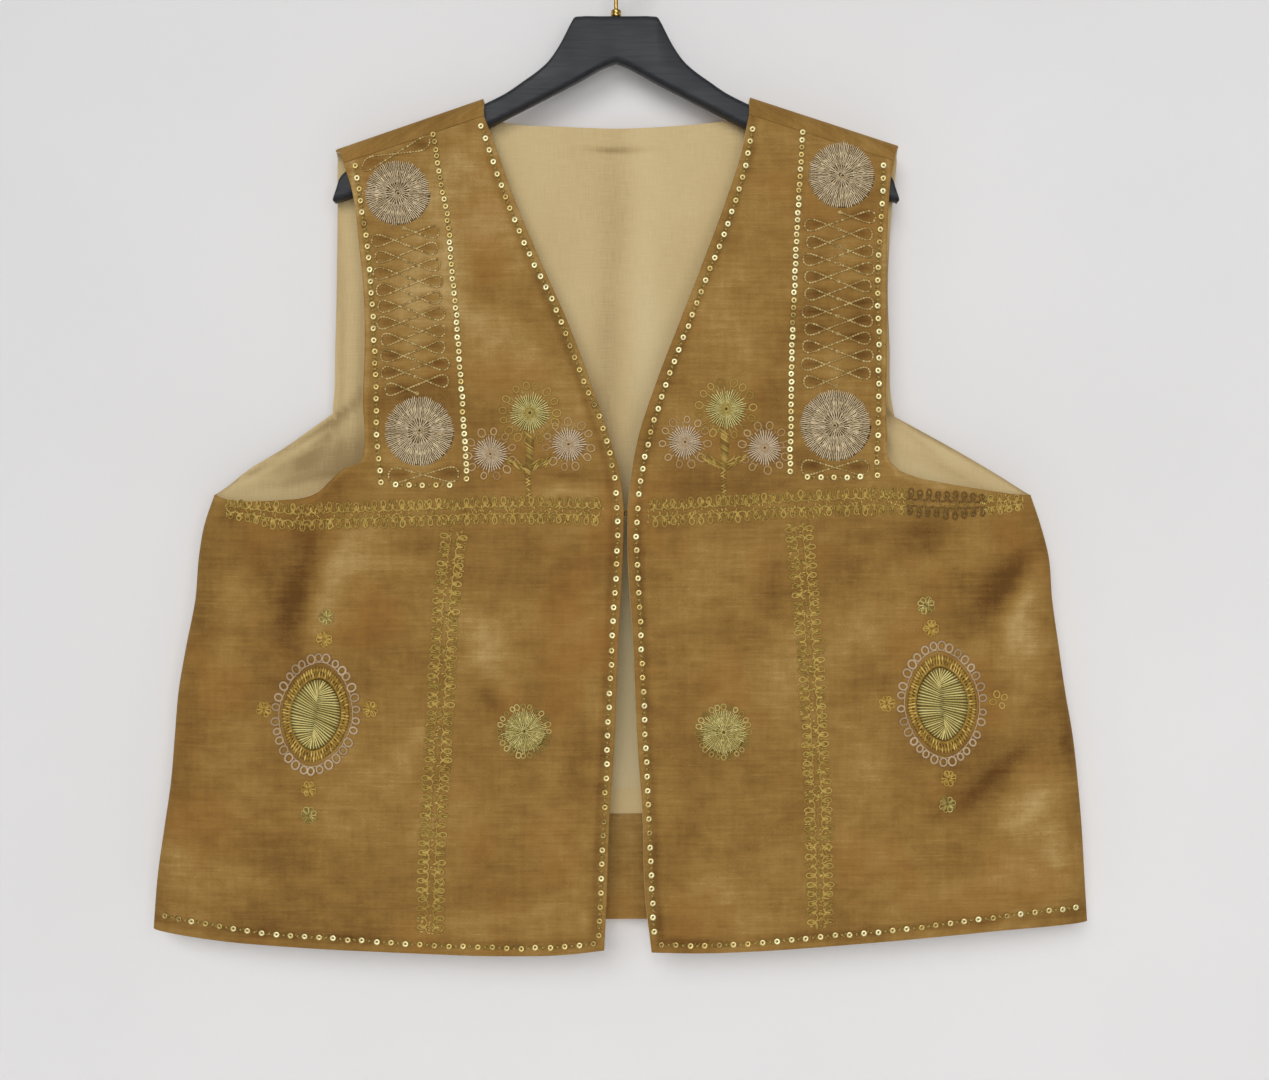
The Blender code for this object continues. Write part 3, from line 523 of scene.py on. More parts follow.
def back_patches(fineness):
    """Turned-up rows, the rest of the lower patch, the upper patch and two shoulder wraps."""
    shoulder = int(BACK_SHOULDER_CELLS * fineness)
    cells = (shoulder, int(BACK_NECK_CELLS * fineness), shoulder)
    rows = join(np.linspace(0.0, BACK_TURNUP_TOP, int(BACK_TURNUP_ROWS * fineness) + 1),
                np.linspace(BACK_TURNUP_TOP, 1.0, int(BACK_LOWER_ROWS * fineness) + 1))
    side = side_shares(int(BACK_SIDE_CELLS * fineness))
    split = BACK_SIDE_SHARE
    middle_shares = spans((split, *BACK_NECK_SHARES, 1 - split), cells)
    hem = along(BACK_HEM, join(join((1 - side[::-1]) * split, middle_shares),
                               1 - split + side * split))
    slope_left = along(BACK_SLOPE_LEFT, 1 - side[::-1])
    slope_right = along(BACK_SLOPE_RIGHT[::-1], side)
    waist_x = spans((slope_left[-1][0], -BACK_NECK_X, BACK_NECK_X, slope_right[0][0]), cells)
    waist_z = np.interp(waist_x, (waist_x[0], waist_x[-1]), (slope_left[-1][1], slope_right[0][1]))
    middle = np.stack([waist_x, waist_z], axis=-1)
    waist = join(join(slope_left, middle), slope_right)
    seam_left = side_edge("left", hem[0][1], waist[0][1], rows)
    seam_right = side_edge("right", hem[-1][1], waist[-1][1], rows)
    hem[0], hem[-1] = seam_left[0], seam_right[0]
    waist[0], waist[-1] = seam_left[-1], seam_right[-1]
    lower = coons(hem, waist, seam_left, seam_right, rows)
    climb = even_steps(BACK_UPPER_CELLS, fineness)
    share = even_steps(shoulder)
    left_x = (RIDGE_LEFT.arm_x + (RIDGE_LEFT.neck_x - RIDGE_LEFT.arm_x) * share) * MM
    right_x = (RIDGE_RIGHT.neck_x + (RIDGE_RIGHT.arm_x - RIDGE_RIGHT.neck_x) * share) * MM
    left_top = np.stack([left_x, wrap_centre(left_x)], axis=-1)
    right_top = np.stack([right_x, wrap_centre(right_x)], axis=-1)
    neck_rows = (tuple(left_top[-1] / MM), *BACK_NECK, tuple(right_top[0] / MM))
    neck = along(neck_rows, even_steps(cells[1]))
    top = join(join(left_top, neck), right_top)
    arm_left = along((*BACK_ARM_LEFT, tuple(left_top[0] / MM)), climb)
    arm_right = along((*BACK_ARM_RIGHT, tuple(right_top[-1] / MM)), climb)
    upper = coons(middle, top, arm_left, arm_right, climb)
    turned = int(BACK_TURNUP_ROWS * fineness)
    return (skin(lower[:turned + 1], BACK), skin(lower[turned:], BACK), skin(upper, BACK),
            wrap_patch(RIDGE_LEFT, 1 - share), wrap_patch(RIDGE_RIGHT, share))


def grid_faces(rows, columns, start, turned):
    """Quads of a grid of points numbered row by row; turned ones face the other way."""
    number = start + np.arange(rows * columns).reshape(rows, columns)
    quads = np.stack([number[:-1, :-1], number[:-1, 1:], number[1:, 1:], number[1:, :-1]], axis=-1)
    return (quads[..., ::-1] if turned else quads).reshape(-1, 4)


def placed(name, data):
    """A new object that shows the data, linked into the scene."""
    thing = bpy.data.objects.new(name, data)
    bpy.context.scene.collection.objects.link(thing)
    return thing


def smooth_piece(name, points, faces, flat, stored, material):
    """A smooth mesh. flat and stored are each a name and values: the UV layer's, one for each
    corner, and those of the number that the material reads, one for each point.
    """
    mesh = bpy.data.meshes.new(name)
    mesh.from_pydata(points, [], faces)
    layer = mesh.uv_layers.new(name=flat[0])
    layer.data.foreach_set("uv", flat[1].astype(np.float32).ravel())
    shade = mesh.attributes.new(stored[0], "FLOAT", "POINT")
    shade.data.foreach_set("value", stored[1].astype(np.float32))
    mesh.materials.append(material)
    mesh.shade_smooth()
    return placed(name, mesh)


def hang_cloth(name, patches, inset, thickness, face, material):
    """One cut panel: its patches welded along their shared edges, then given its thickness.

    The back's naps and painted shade are placed for its inside: weaker on its outermost cloth.
    """
    points, cuts, faces = [], [], []
    count = 0
    for patch in patches:
        rows, columns = patch.points.shape[:2]
        points.append((patch.points - inset * patch.normals).reshape(-1, 3))
        cuts.append(patch.cut.reshape(-1, 2))
        faces.append(grid_faces(rows, columns, count, face == BACK))
        count += rows * columns
    points, cuts, faces = np.concatenate(points), np.concatenate(cuts), np.concatenate(faces)
    near = np.round(points / (0.01 * MM)).astype(np.int64)
    _, first, group = np.unique(near, axis=0, return_index=True, return_inverse=True)
    # tone: nap with painted shade and painted highlight, for the material to read
    tone = nap_and_shade_tone(points[first][:, 0], points[first][:, 2], face)
    if face == BACK and inset == 0.0:
        tone = OUTERMOST_BACK_NAP_AND_SHADE * tone
    cloth = smooth_piece(name, points[first], group.reshape(-1)[faces].tolist(),
                         ("cut", cuts[faces.reshape(-1)]), ("nap", tone), material)
    wall = cloth.modifiers.new("wall", "SOLIDIFY")
    wall.thickness = thickness
    wall.offset = -1.0
    edge = cloth.modifiers.new("turned_edge", "BEVEL")
    edge.width = min(TURNED_EDGE, thickness * 0.4)
    edge.segments = 3
    edge.limit_method = "ANGLE"
    edge.angle_limit = radians(TURNED_EDGE_ANGLE)
    edge.use_clamp_overlap = True
    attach(cloth, "root")
    return cloth


class Socket:
    """An output of one material's node. A sum on it adds a Math node beside it."""

    def __init__(self, tree, out):
        self.tree = tree
        self.out = out

    def node(self, kind, settings, inputs, out=0):
        """Adds a node: its settings are set first, then its sockets' values or links."""
        made = self.tree.nodes.new("ShaderNode" + kind)
        for name, value in settings.items():
            if name == "stops":
                ramp = made.color_ramp
                while len(ramp.elements) < len(value):
                    ramp.elements.new(1.0)
                for stop, (place, colour) in zip(ramp.elements, value):
                    stop.position = place
                    stop.color = (*colour, 1.0)
            else:
                setattr(made, name, value)
        for name, value in inputs.items():
            if isinstance(value, Socket):
                self.tree.links.new(value.out, made.inputs[name])
            else:
                made.inputs[name].default_value = value
        return Socket(self.tree, made.outputs[out])

    def maths(self, operation, first, second=0.0):
        return self.node("Math", {"operation": operation}, {0: first, 1: second})

    def __add__(self, other):
        return self.maths("ADD", self, other)

    def __radd__(self, other):
        return self.maths("ADD", other, self)

    def __sub__(self, other):
        return self.maths("SUBTRACT", self, other)

    def __rsub__(self, other):
        return self.maths("SUBTRACT", other, self)

    def __mul__(self, other):
        return self.maths("MULTIPLY", self, other)

    def __rmul__(self, other):
        return self.maths("MULTIPLY", other, self)

    def wave(self):
        return self.maths("SINE", self)

    def grain(self, stretch, detail=2.0, roughness=0.5):
        """Noise over these coordinates, with its own scale along each of them."""
        spread = self.node("VectorMath", {"operation": "MULTIPLY"}, {0: self, 1: stretch})
        return self.node("TexNoise", {}, {"Vector": spread, "Scale": 1.0, "Detail": detail,
                                          "Roughness": roughness})

    def dye(self, *stops):
        """Colours from this value, by a ramp of places and colours from 0 to 255."""
        stops = [(place, linear(*colour)) for place, colour in stops]
        return self.node("ValToRGB", {"stops": stops}, {"Fac": self})

    def mask(self, low, high):
        """0 up to low and 1 from high on."""
        return self.dye((low, (0, 0, 0)), (high, (255, 255, 255)))

    def tint(self, share, colour):
        """This colour with a share of another one mixed in."""
        other = (*linear(*colour), 1.0)
        return self.node("Mix", {"data_type": "RGBA"}, {0: share, 6: self, 7: other}, out=2)

    def stored(self, name):
        """The number that the mesh stores under a name."""
        return self.node("Attribute", {"attribute_name": name}, {}, out=2)

    def bump(self, distance, under=None):
        """Normals raised by this height, over those of another bump if there is one."""
        inputs = {"Height": self, "Distance": distance}
        if under is not None:
            inputs["Normal"] = under
        return self.node("Bump", {}, inputs)


def linear(red, green, blue):
    """A colour as the eye names it, 0 to 255, in the linear light that shaders reckon with."""
    share = np.array([red, green, blue]) / 255
    return tuple(float(c) for c in np.where(share < 0.04045, share / 12.92,
                                            ((share + 0.055) / 1.055)**2.4))


def finish(name, constants, paint):
    """A material: fixed values on the shader's own sockets, then what paint links to them."""
    made = bpy.data.materials.new(name)
    made.use_nodes = True
    tree = made.node_tree
    shader = tree.nodes["Principled BSDF"]
    for socket, value in constants.items():
        shader.inputs[socket].default_value = value
    coordinates = tree.nodes.new("ShaderNodeTexCoord")
    uv, place = Socket(tree, coordinates.outputs["UV"]), Socket(tree, coordinates.outputs["Object"])
    for socket, value in paint(uv, place).items():
        tree.links.new(value.out, shader.inputs[socket])
    return made


def velvet_paint(cut, place):
    """Slubs are noise drawn out along the weft; the nap is cloudy; the pile is fine grain."""
    slub = cut.grain((18.0, 430.0, 1.0), 3.0, 0.65)
    drawn = cut.grain((42.0, 900.0, 1.0), 2.0).mask(0.58, 0.70)
    rubbed = cut.grain((260.0, 34.0, 1.0), 2.0)
    cloud = cut.grain((13.0, 15.0, 1.0), 3.0, 0.55)
    worn = cut.grain((55.0, 95.0, 1.0), 4.0, 0.65)
    pile = place.grain((1900.0, 1900.0, 1900.0), 2.0)
    # The stored number: nap with painted shade in creases, troughs and dents, painted highlight on
    # lit folds and rolls
    nap = cut.stored("nap")
    level = 0.42 + nap * 0.42 + (slub - 0.5) * 0.34 + drawn * 0.10 + (rubbed - 0.5) * 0.18
    level = level + (cloud - 0.5) * 0.95 + (worn - 0.5) * 0.50 + (pile - 0.5) * 0.55
    shades = level.dye((0.0, (95, 64, 27)), (0.42, (139, 105, 52)), (0.62, (153, 120, 65)),
                       (0.98, (186, 158, 104)))
    rust = place.grain((15.0, 15.0, 15.0), 2.0).mask(0.5, 0.72)
    warmed = shades.tint(rust * 0.34, (148, 99, 44))
    normal = pile.bump(0.22 * MM, (slub + worn * 0.5).bump(0.40 * MM))
    return {"Base Color": warmed, "Roughness": 0.78 + (worn - 0.5) * 0.3, "Normal": normal}


velvet = finish("brown_gold_velvet", {
    "Specular IOR Level": 0.10, "Sheen Weight": 0.40, "Sheen Roughness": 0.38,
    "Sheen Tint": (*linear(228, 194, 132), 1.0)}, velvet_paint)

for column, edges, ridge in (("left", LEFT_EDGES, RIDGE_LEFT), ("right", RIGHT_EDGES, RIDGE_RIGHT)):
    front = hang_cloth("velvet_front_" + column, front_patches(edges, ridge, column, 1.0),
                       0.0, VELVET, FRONT, velvet)
    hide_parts("front_" + column)

back = hang_cloth("velvet_back", back_patches(1.0), 0.0, VELVET, BACK, velvet)
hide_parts("back")

# Turned-up hem of the back, seen between the fronts.
# The back's own velvet folded up inside by about 85 mm and slip-stitched to the lining.

turned_rows = back_patches(1.0)[0]
turned_rows.points[-1, :, 2] -= SEAM_GAP
turnup = hang_cloth("velvet_hem_turnup", (turned_rows,), VELVET + SEAM_GAP, VELVET, BACK, velvet)
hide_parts("back_hem_turnup")

# Linings of the fronts and the back.
# Plain-woven unbleached cotton, 1 mm with its seam turnings, cut like the velvet and felled
# to it along every edge. It peeps out by a hair's breadth at the right front and the armholes.

LINING = 1.0 * MM
LINING_PEEP = 0.35 * MM
LINING_FOLD_Z = -677.5 * MM


def lining_paint(cut, place):
    """Warp and weft are fine noise drawn out along each way, over faint cloudy creasing."""
    weft = cut.grain((60.0, 1600.0, 1.0), 2.0)
    warp = cut.grain((1600.0, 60.0, 1.0), 2.0)
    cloud = cut.grain((9.0, 6.0, 1.0), 3.0)
    # The stored number: the face's naps with painted shade and painted highlight; on the back
    # lining that is shade under the armholes and along creases, and painted light in the slit
    nap = cut.stored("nap")
    height = place.node("SeparateXYZ", {}, {0: place}, out=2)
    doubled = ((LINING_FOLD_Z - height) * 900.0).mask(0.0, 1.0)
    level = 0.57 + (weft - 0.5) * 0.30 + (warp - 0.5) * 0.30 + (cloud - 0.5) * 0.5 + nap * 0.42
    shades = level.dye((0.05, (154, 131, 90)), (0.5, (197, 174, 127)), (0.9, (212, 194, 150)))
    shades = shades.tint(doubled * 0.45, (212, 182, 126))
    return {"Base Color": shades, "Roughness": 0.86 + (cloud - 0.5) * 0.1,
            "Normal": (weft + warp).bump(0.25 * MM)}


cotton = finish("unbleached_cotton", {
    "Specular IOR Level": 0.2, "Sheen Weight": 0.12, "Sheen Roughness": 0.5}, lining_paint)


def shifted(points, x, z=0.0):
    return tuple((point_x + x, point_z + z) for point_x, point_z in points)


peep = LINING_PEEP / MM
left_lining_edges = LEFT_EDGES._replace(arm_level=shifted(LEFT_EDGES.arm_level, 0.0, peep))
right_lining_edges = RIGHT_EDGES._replace(
    centre=shifted(RIGHT_EDGES.centre, -peep), neck=shifted(RIGHT_EDGES.neck, -peep),
    arm_level=shifted(RIGHT_EDGES.arm_level, 0.0, peep))
for column, edges, ridge in (("left", left_lining_edges, RIDGE_LEFT),
                             ("right", right_lining_edges, RIDGE_RIGHT)):
    inner = hang_cloth("lining_of_front_" + column, front_patches(edges, ridge, column, 0.45),
                       VELVET + SEAM_GAP, LINING, FRONT, cotton)
    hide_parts("lining_front_" + column)
    "velvet_front_" + column

back_lining = hang_cloth("lining_of_back", back_patches(0.7)[1:], VELVET + SEAM_GAP, LINING,
                         BACK, cotton)
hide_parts("lining_back")

# Embroidery threads and the sequin rows.
# Flat metal thread and lilac-silver cord sewn by machine, then gold sequins held by a bead in
# the middle, over a narrow olive strip of zig-zag stitches along every edge.

SEWN_ON = 0.25 * MM


def on_front(plan, lift):
    """Points above the fronts' velvet at a plan of x and z, with the normals there."""
    points, normals, _ = skin(plan, FRONT)
    return points + np.asarray(lift)[..., None] * normals, normals


def once_round(steps):
    return 2 * pi * np.arange(steps) / steps


def laid(plan, lift, width, height, sides=4, closed=False, start=0.0, taper=None):
    """Threads laid on the velvet: an oval of the given half sizes carried along each path.

    plan holds a path of x and z for each thread. taper gives the oval's share at each step.
    """
    lift = np.broadcast_to(lift, plan.shape[:2])
    centre, normals = on_front(plan, lift)
    if closed:
        ahead = np.roll(centre, -1, axis=1) - np.roll(centre, 1, axis=1)
    else:
        ahead = np.gradient(centre, axis=1)
    ahead = unit(ahead)
    aside = unit(np.cross(normals, ahead))
    above = np.cross(ahead, aside)
    angles = start + once_round(sides)
    share = np.ones(plan.shape[:2]) if taper is None else np.broadcast_to(taper, plan.shape[:2])
    wide = (share * width)[..., None] * np.cos(angles)
    high = (share * height)[..., None] * np.sin(angles)
    rings = (centre[..., None, :] + wide[..., None] * aside[..., None, :]
             + high[..., None] * above[..., None, :])
    return rings, closed


def sew(name, metal, slot, bundles, *nodes):
    """One joined piece of threads. Each bundle is its rings, whether closed, and its tones."""
    points, faces, strand, tones = [], [], [], []
    count = 0
    for (rings, closed), tone in bundles:
        threads, steps, sides = rings.shape[:3]
        number = count + np.arange(threads * steps * sides).reshape(threads, steps, sides)
        ahead = np.roll(number, -1, axis=1) if closed else number[:, 1:]
        here = number if closed else number[:, :-1]
        quads = np.stack([here, np.roll(here, -1, axis=2), np.roll(ahead, -1, axis=2), ahead],
                         axis=-1)
        length = np.linalg.norm(np.diff(rings.mean(axis=2), axis=1, append=0), axis=-1)
        length[:, -1] = 0 if not closed else length[:, 0]
        reach = np.concatenate([np.zeros((threads, 1)), np.cumsum(length, axis=1)], axis=1)
        u0 = np.broadcast_to(reach[:, :quads.shape[1], None], quads.shape[:3])
        u1 = np.broadcast_to(reach[:, 1:quads.shape[1] + 1, None], quads.shape[:3])
        v0 = np.broadcast_to(np.arange(sides) / sides, quads.shape[:3])
        v1 = v0 + 1 / sides
        strand.append(np.stack([u0, v0, u0, v1, u1, v1, u1, v0], axis=-1).reshape(-1, 2))
        faces += quads.reshape(-1, 4).tolist()
        if not closed:
            caps = np.concatenate([number[:, 0, ::-1], number[:, -1]])
            faces += caps.tolist()
            strand.append(np.zeros((caps.size, 2)))
        points.append(rings.reshape(-1, 3))
        tones.append(np.repeat(np.broadcast_to(tone, threads), steps * sides))
        count += threads * steps * sides
    piece = smooth_piece(name, np.concatenate(points), faces,
                         ("strand", np.concatenate(strand)), ("tone", np.concatenate(tones)), metal)
    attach(piece, "root")
    if nodes:
        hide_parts(*nodes)


def thread_finish(name, dark, middle, light, metallic, roughness, ply=0.9 * MM):
    """Thread dyed by each stitch's own tone, with its plies as a wave wound round its length."""
    def paint(strand, place):
        tone = strand.stored("tone")
        fleck = place.grain((1400.0, 1400.0, 1400.0), 2.0)
        shades = (tone + (fleck - 0.5) * 0.5).dye((0.0, dark), (0.5, middle), (1.0, light))
        parts = strand.node("SeparateXYZ", {}, {0: strand})
        turned = Socket(strand.tree, parts.out.node.outputs[1])
        plies = (parts * (2 * pi / ply) + turned * (2 * pi)).wave()
        return {"Base Color": shades, "Roughness": roughness + (fleck - 0.5) * 0.3,
                "Normal": plies.bump(0.12 * MM)}
    return finish(name, {"Metallic": metallic}, paint)


sequin_gold = thread_finish("gold_sequin", (112, 82, 34), (214, 186, 108), (255, 246, 190), 0.45,
                            0.34, ply=40 * MM)
olive_thread = thread_finish("olive_gold_thread", (112, 94, 34), (152, 130, 56), (196, 170, 92),
                             0.2, 0.55)

SEQUIN_RADIUS = 2.35 * MM
SEQUIN_HOLE = 0.75 * MM
SEQUIN_LIFT = 1.0 * MM
BEAD_RADIUS = 0.55 * MM
BEAD_LIFT = 1.15 * MM
# The share by which sequins on the dull stretches are painted darker, as painted shade
PAINTED_SHADE_OF_TILTED = 0.36
STRIP_STEP = 1.7 * MM
STRIP_REACH = 1.9 * MM

# Millimetres: each row of sequins along its points, one every pitch, and the shares of its
# length where they look dull: painted shade, as on sequins tilted away from the light
SequinRow = namedtuple("SequinRow", "pitch dull points")
SEQUIN_ROWS = (
    # Neck edges, left and right
    SequinRow(9.7, ((0.58, 0.97),),
              ((-104.8, -160.6), (-97.8, -179.9), (-92.4, -196.9), (-78.6, -233.1),
               (-63.5, -267.1), (-54.6, -284.4), (-25.3, -357.3), (-13.0, -386.6), (-5.2, -412),
               (-0.6, -434))),
    SequinRow(9.7, (),
              ((106.2, -162.9), (98.9, -198.4), (83.8, -244.7), (69.6, -280.2), (55.7, -316.4),
               (41.0, -355.0), (25.6, -404.4), (21.0, -425.2), (17.4, -446.0))),
    # Front edges
    SequinRow(10.8, ((0.64, 0.78), (0.9, 1.0)),
              ((0.4, -445.4), (1.5, -476.9), (0.2, -509.2), (-2.9, -563.7), (-6.0, -629.8),
               (-8.3, -685.8), (-10.6, -732.7), (-12.9, -785))),
    SequinRow(10.8, ((0.36, 0.42), (0.72, 0.78)),
              ((17.0, -457), (15.6, -477.7), (17.1, -509.2), (20.2, -576.0), (22.5, -632.1),
               (25.2, -688.9), (27.1, -735.0), (29.4, -782))),
    # Hems
    SequinRow(11.0, ((0.0, 0.16), (0.6, 1.0)),
              ((-350, -773.5), (-339.5, -774.9), (-316.4, -778.0), (-272.5, -784.1),
               (-240.1, -786.5), (-207.0, -788.8), (-153.9, -792.2), (-90, -794.6), (-50, -794.6),
               (-17, -791.5))),
    SequinRow(11.0, ((0.0, 0.26), (0.62, 0.7), (0.78, 0.86)),
              ((35, -792.5), (73.3, -793), (118.0, -790.3), (139.5, -788.0), (195.0, -783.4),
               (250.4, -777.2), (282.8, -773.6), (326.7, -769.0), (357, -767.0))),
    # Left shoulder panel: outer side, inner side and foot
    SequinRow(9.2, ((0.05, 0.2), (0.6, 0.72), (0.76, 0.85)),
              ((-202.5, -191.0), (-200.8, -200.3), (-196.9, -226.5), (-193.8, -245.1),
               (-187.6, -308.4), (-185.3, -342.4), (-183.8, -381.8), (-183.0, -412.0),
               (-179.9, -437.0))),
    SequinRow(5.75, ((0.0, 0.3),),
              ((-141.8, -166.8), (-135.6, -205.3), (-131.0, -228.5), (-126.4, -273.2),
               (-120.2, -337.3), (-117.9, -373.5), (-114.3, -434.4))),
    SequinRow(10.4, (),
              ((-169.0, -439.2), (-148.0, -439.5), (-127.4, -439.2))),
    # Right shoulder panel: outer side, inner side and foot
    SequinRow(10.0, ((0.16, 0.3),),
              ((207.7, -190.6), (207.2, -208.8), (204.1, -248.2), (202.5, -276.0),
               (202.5, -342.4), (201.5, -392.6), (200.5, -431.7))),
    SequinRow(5.75, ((0.04, 0.14), (0.5, 0.58)),
              ((145.1, -165.2), (142.8, -194.5), (141.0, -228.5), (138.7, -267.8),
               (135.4, -338.0), (134.2, -404.4), (133.6, -429.0))),
    SequinRow(10.2, (),
              ((147.0, -433.1), (168.0, -433.4), (187.8, -433.1))),
)


def row_length(points):
    return float(np.hypot(*np.diff(np.array(points) * MM, axis=0).T).sum())


def pointing(angle):
    """Directions of x and z at these angles."""
    return np.stack([np.cos(angle), np.sin(angle)], axis=-1)


def ring_plan(centres, radius, steps):
    """Closed circles about the centres, radius given for all or for each."""
    radius = np.broadcast_to(radius, len(centres))[:, None, None]
    return centres[:, None] + radius * pointing(once_round(steps))


def sequin_bundles(centres, dull, draws):
    """Flat rings, each a little tilted its own way and more or less bright, with a bead inside."""
    count = len(centres)
    middle = (SEQUIN_RADIUS + SEQUIN_HOLE) / 2
    half = (SEQUIN_RADIUS - SEQUIN_HOLE) / 2 * sqrt(2)
    plan = ring_plan(centres, middle, 14)
    tilt = draws.normal(0.0, 0.07, (count, 2))
    lift = SEQUIN_LIFT + ((plan - centres[:, None]) * tilt[:, None]).sum(axis=-1)
    share = np.linspace(0.0, 1.0, count)
    # Painted shade: sequins on the dull stretches get a darker tone, as if tilted away from the
    # light
    tilted_shade = sum(((share >= low) & (share <= high)) for low, high in dull + ((2, 2),))
    tone_and_shade = np.clip(draws.normal(0.80, 0.16, count), 0.3, 1.1) - PAINTED_SHADE_OF_TILTED * tilted_shade
    beads = ring_plan(centres, BEAD_RADIUS * 0.8, 6)
    return [(laid(plan, lift, half, 0.1 * MM, closed=True, start=pi / 4), tone_and_shade),
            (laid(beads, BEAD_LIFT, BEAD_RADIUS * 0.7, BEAD_RADIUS, closed=True), 0.12)]


def dashes(centres, directions, length, steps=4):
    """Plans of short stitches through the centres, each along its own direction."""
    share = np.linspace(-0.5, 0.5, steps)
    length = np.broadcast_to(length, len(centres))[:, None, None]
    return centres[:, None] + share[None, :, None] * length * directions[:, None]


DASH_TAPER = np.array([0.45, 1.0, 1.0, 0.45])


def stitches(centres, directions, length, lift, width, height):
    """Short stitches laid on the velvet, thin at both ends."""
    return laid(dashes(centres, directions, length), lift, width, height, taper=DASH_TAPER)


def headings(path):
    return unit(np.gradient(path, axis=0))


def turned_by(directions, angle):
    """Plan directions turned by an angle, positive from x towards z."""
    c, s = np.cos(angle), np.sin(angle)
    return np.stack([directions[:, 0] * c - directions[:, 1] * s,
                     directions[:, 0] * s + directions[:, 1] * c], axis=-1)


def zigzag_bundle(points, draws):
    """Short stitches that lean to and fro across a row, left showing between the sequins."""
    count = int(row_length(points) / STRIP_STEP)
    path = along(points, np.linspace(0.0, 1.0, count))
    ahead = headings(path)
    swing = np.where(np.arange(count) % 2, 1.0, -1.0)
    aside = turned_by(ahead, pi / 2)
    centres = path + (swing * STRIP_REACH * 0.45)[:, None] * aside
    leaning = turned_by(ahead, swing * 0.9 + draws.normal(0, 0.25, count))
    threads = stitches(centres, leaning, draws.uniform(1.8, 2.7, count) * MM,
                       SEWN_ON + 0.1 * MM, 0.42 * MM, 0.3 * MM)
    return threads, draws.uniform(0.1, 0.95, count)


sequin_draws = np.random.default_rng(11)
sequin_parts, strip_parts = [], []
for row in SEQUIN_ROWS:
    count = int(round(row_length(row.points) / (row.pitch * MM))) + 1
    centres = along(row.points, np.linspace(0.0, 1.0, count))
    centres = centres + sequin_draws.normal(0.0, 0.22 * MM, centres.shape)
    sequin_parts += sequin_bundles(centres, row.dull, sequin_draws)
    strip_parts.append(zigzag_bundle(row.points, sequin_draws))
    if row.pitch > 8:
        between = (centres[:-1] + centres[1:]) / 2
        seeds = ring_plan(between, 0.5 * MM, 6)
        strip_parts.append((laid(seeds, 0.6 * MM, 0.45 * MM, 0.45 * MM, closed=True), 0.95))
sew("sequins", sequin_gold, "gold_sequins", sequin_parts)
sew("edge_strips", olive_thread, "gold_thread", strip_parts)

# Scroll bands across the chest and down each front.
# Two rows of looped chain stitch in olive-gold thread, back to back, like a row of the letter e
# and its mirror image, over a scatter of short stitches that fills the ground between the loops.

BAND_ROW_APART = 2.3
LOOP_PITCH = 7.2
LOOP_HEIGHT = 7.9
BAND_THREAD = 0.62 * MM
LOOP_STEPS = 14
LINE_STEPS = 400
FILL_STEP = 0.32 * MM
FILL_REACH = 9.8

# Millimetres: the middle line of each band
BANDS = (
    ((-305, -456.5), (-276, -460.5), (-250, -464), (-223, -463), (-171, -461.5),
     (-136, -460), (-66, -458.5), (-8.0, -460)),
    ((23, -461), (80, -458), (142, -454), (211.5, -452), (265, -454.5), (298, -453.5),
     (318, -452)),
    ((-123, -472), (-129.5, -528), (-134, -605), (-139, -682), (-143, -786)),
    ((140, -466), (146, -528), (151, -605), (155, -682), (157.5, -782)),
)
NARROWS_FROM, NARROWS_TO = 262.0, 322.0
# Millimetres of x on the right front: where the bands are painted dark, as painted shade
PAINTED_SHADE_STRETCH = (222.0, 280.0)

band_gold = thread_finish("band_gold_thread", (112, 78, 34), (170, 139, 60), (228, 196, 106), 0.1,
                          0.55)


def narrowing(x):
    """Share of the full height that a band keeps, less towards the armhole's corner."""
    return np.interp(np.abs(x) / MM, (NARROWS_FROM, NARROWS_TO), (1.0, 0.5))


def in_painted_shade(x):
    """Whether x lies on the stretch by the armhole where the bands are given painted shade."""
    return (x > PAINTED_SHADE_STRETCH[0] * MM) & (x < PAINTED_SHADE_STRETCH[1] * MM)


def e_loops(points, side, size, draws):
    """A row of joined loops beside a line, one path for each: forward along the line and out
    from it by a wave, with the forward step reversed at the top so that the line closes.
    """
    count = int(row_length(points) / (LOOP_PITCH * MM))
    turn = np.linspace(0.0, 2 * pi, LOOP_STEPS)
    swing = 0.60 * (size - 0.2) * np.sin(turn)
    step = np.arange(count)[:, None] + (turn / (2 * pi) + swing)[None, :]
    shares = np.linspace(0.0, 1.0, LINE_STEPS)
    line = along(points, shares)
    share = np.clip((step + 0.5) / (count + 1.0), 0.0, 1.0)
    ahead = unit(np.diff(line, axis=0, append=line[-1:] * 2 - line[-2:-1]))
    at, aside = (np.stack([np.interp(share, shares, xs), np.interp(share, shares, zs)], axis=-1)
                 for xs, zs in (line.T, (-ahead[:, 1], ahead[:, 0])))
    tall = size * LOOP_HEIGHT * (1 + draws.uniform(-0.12, 0.12, count))[:, None]
    away = side * (BAND_ROW_APART + tall * (1 - np.cos(turn)) / 2) * MM * narrowing(at[..., 0])
    return at + away[..., None] * aside


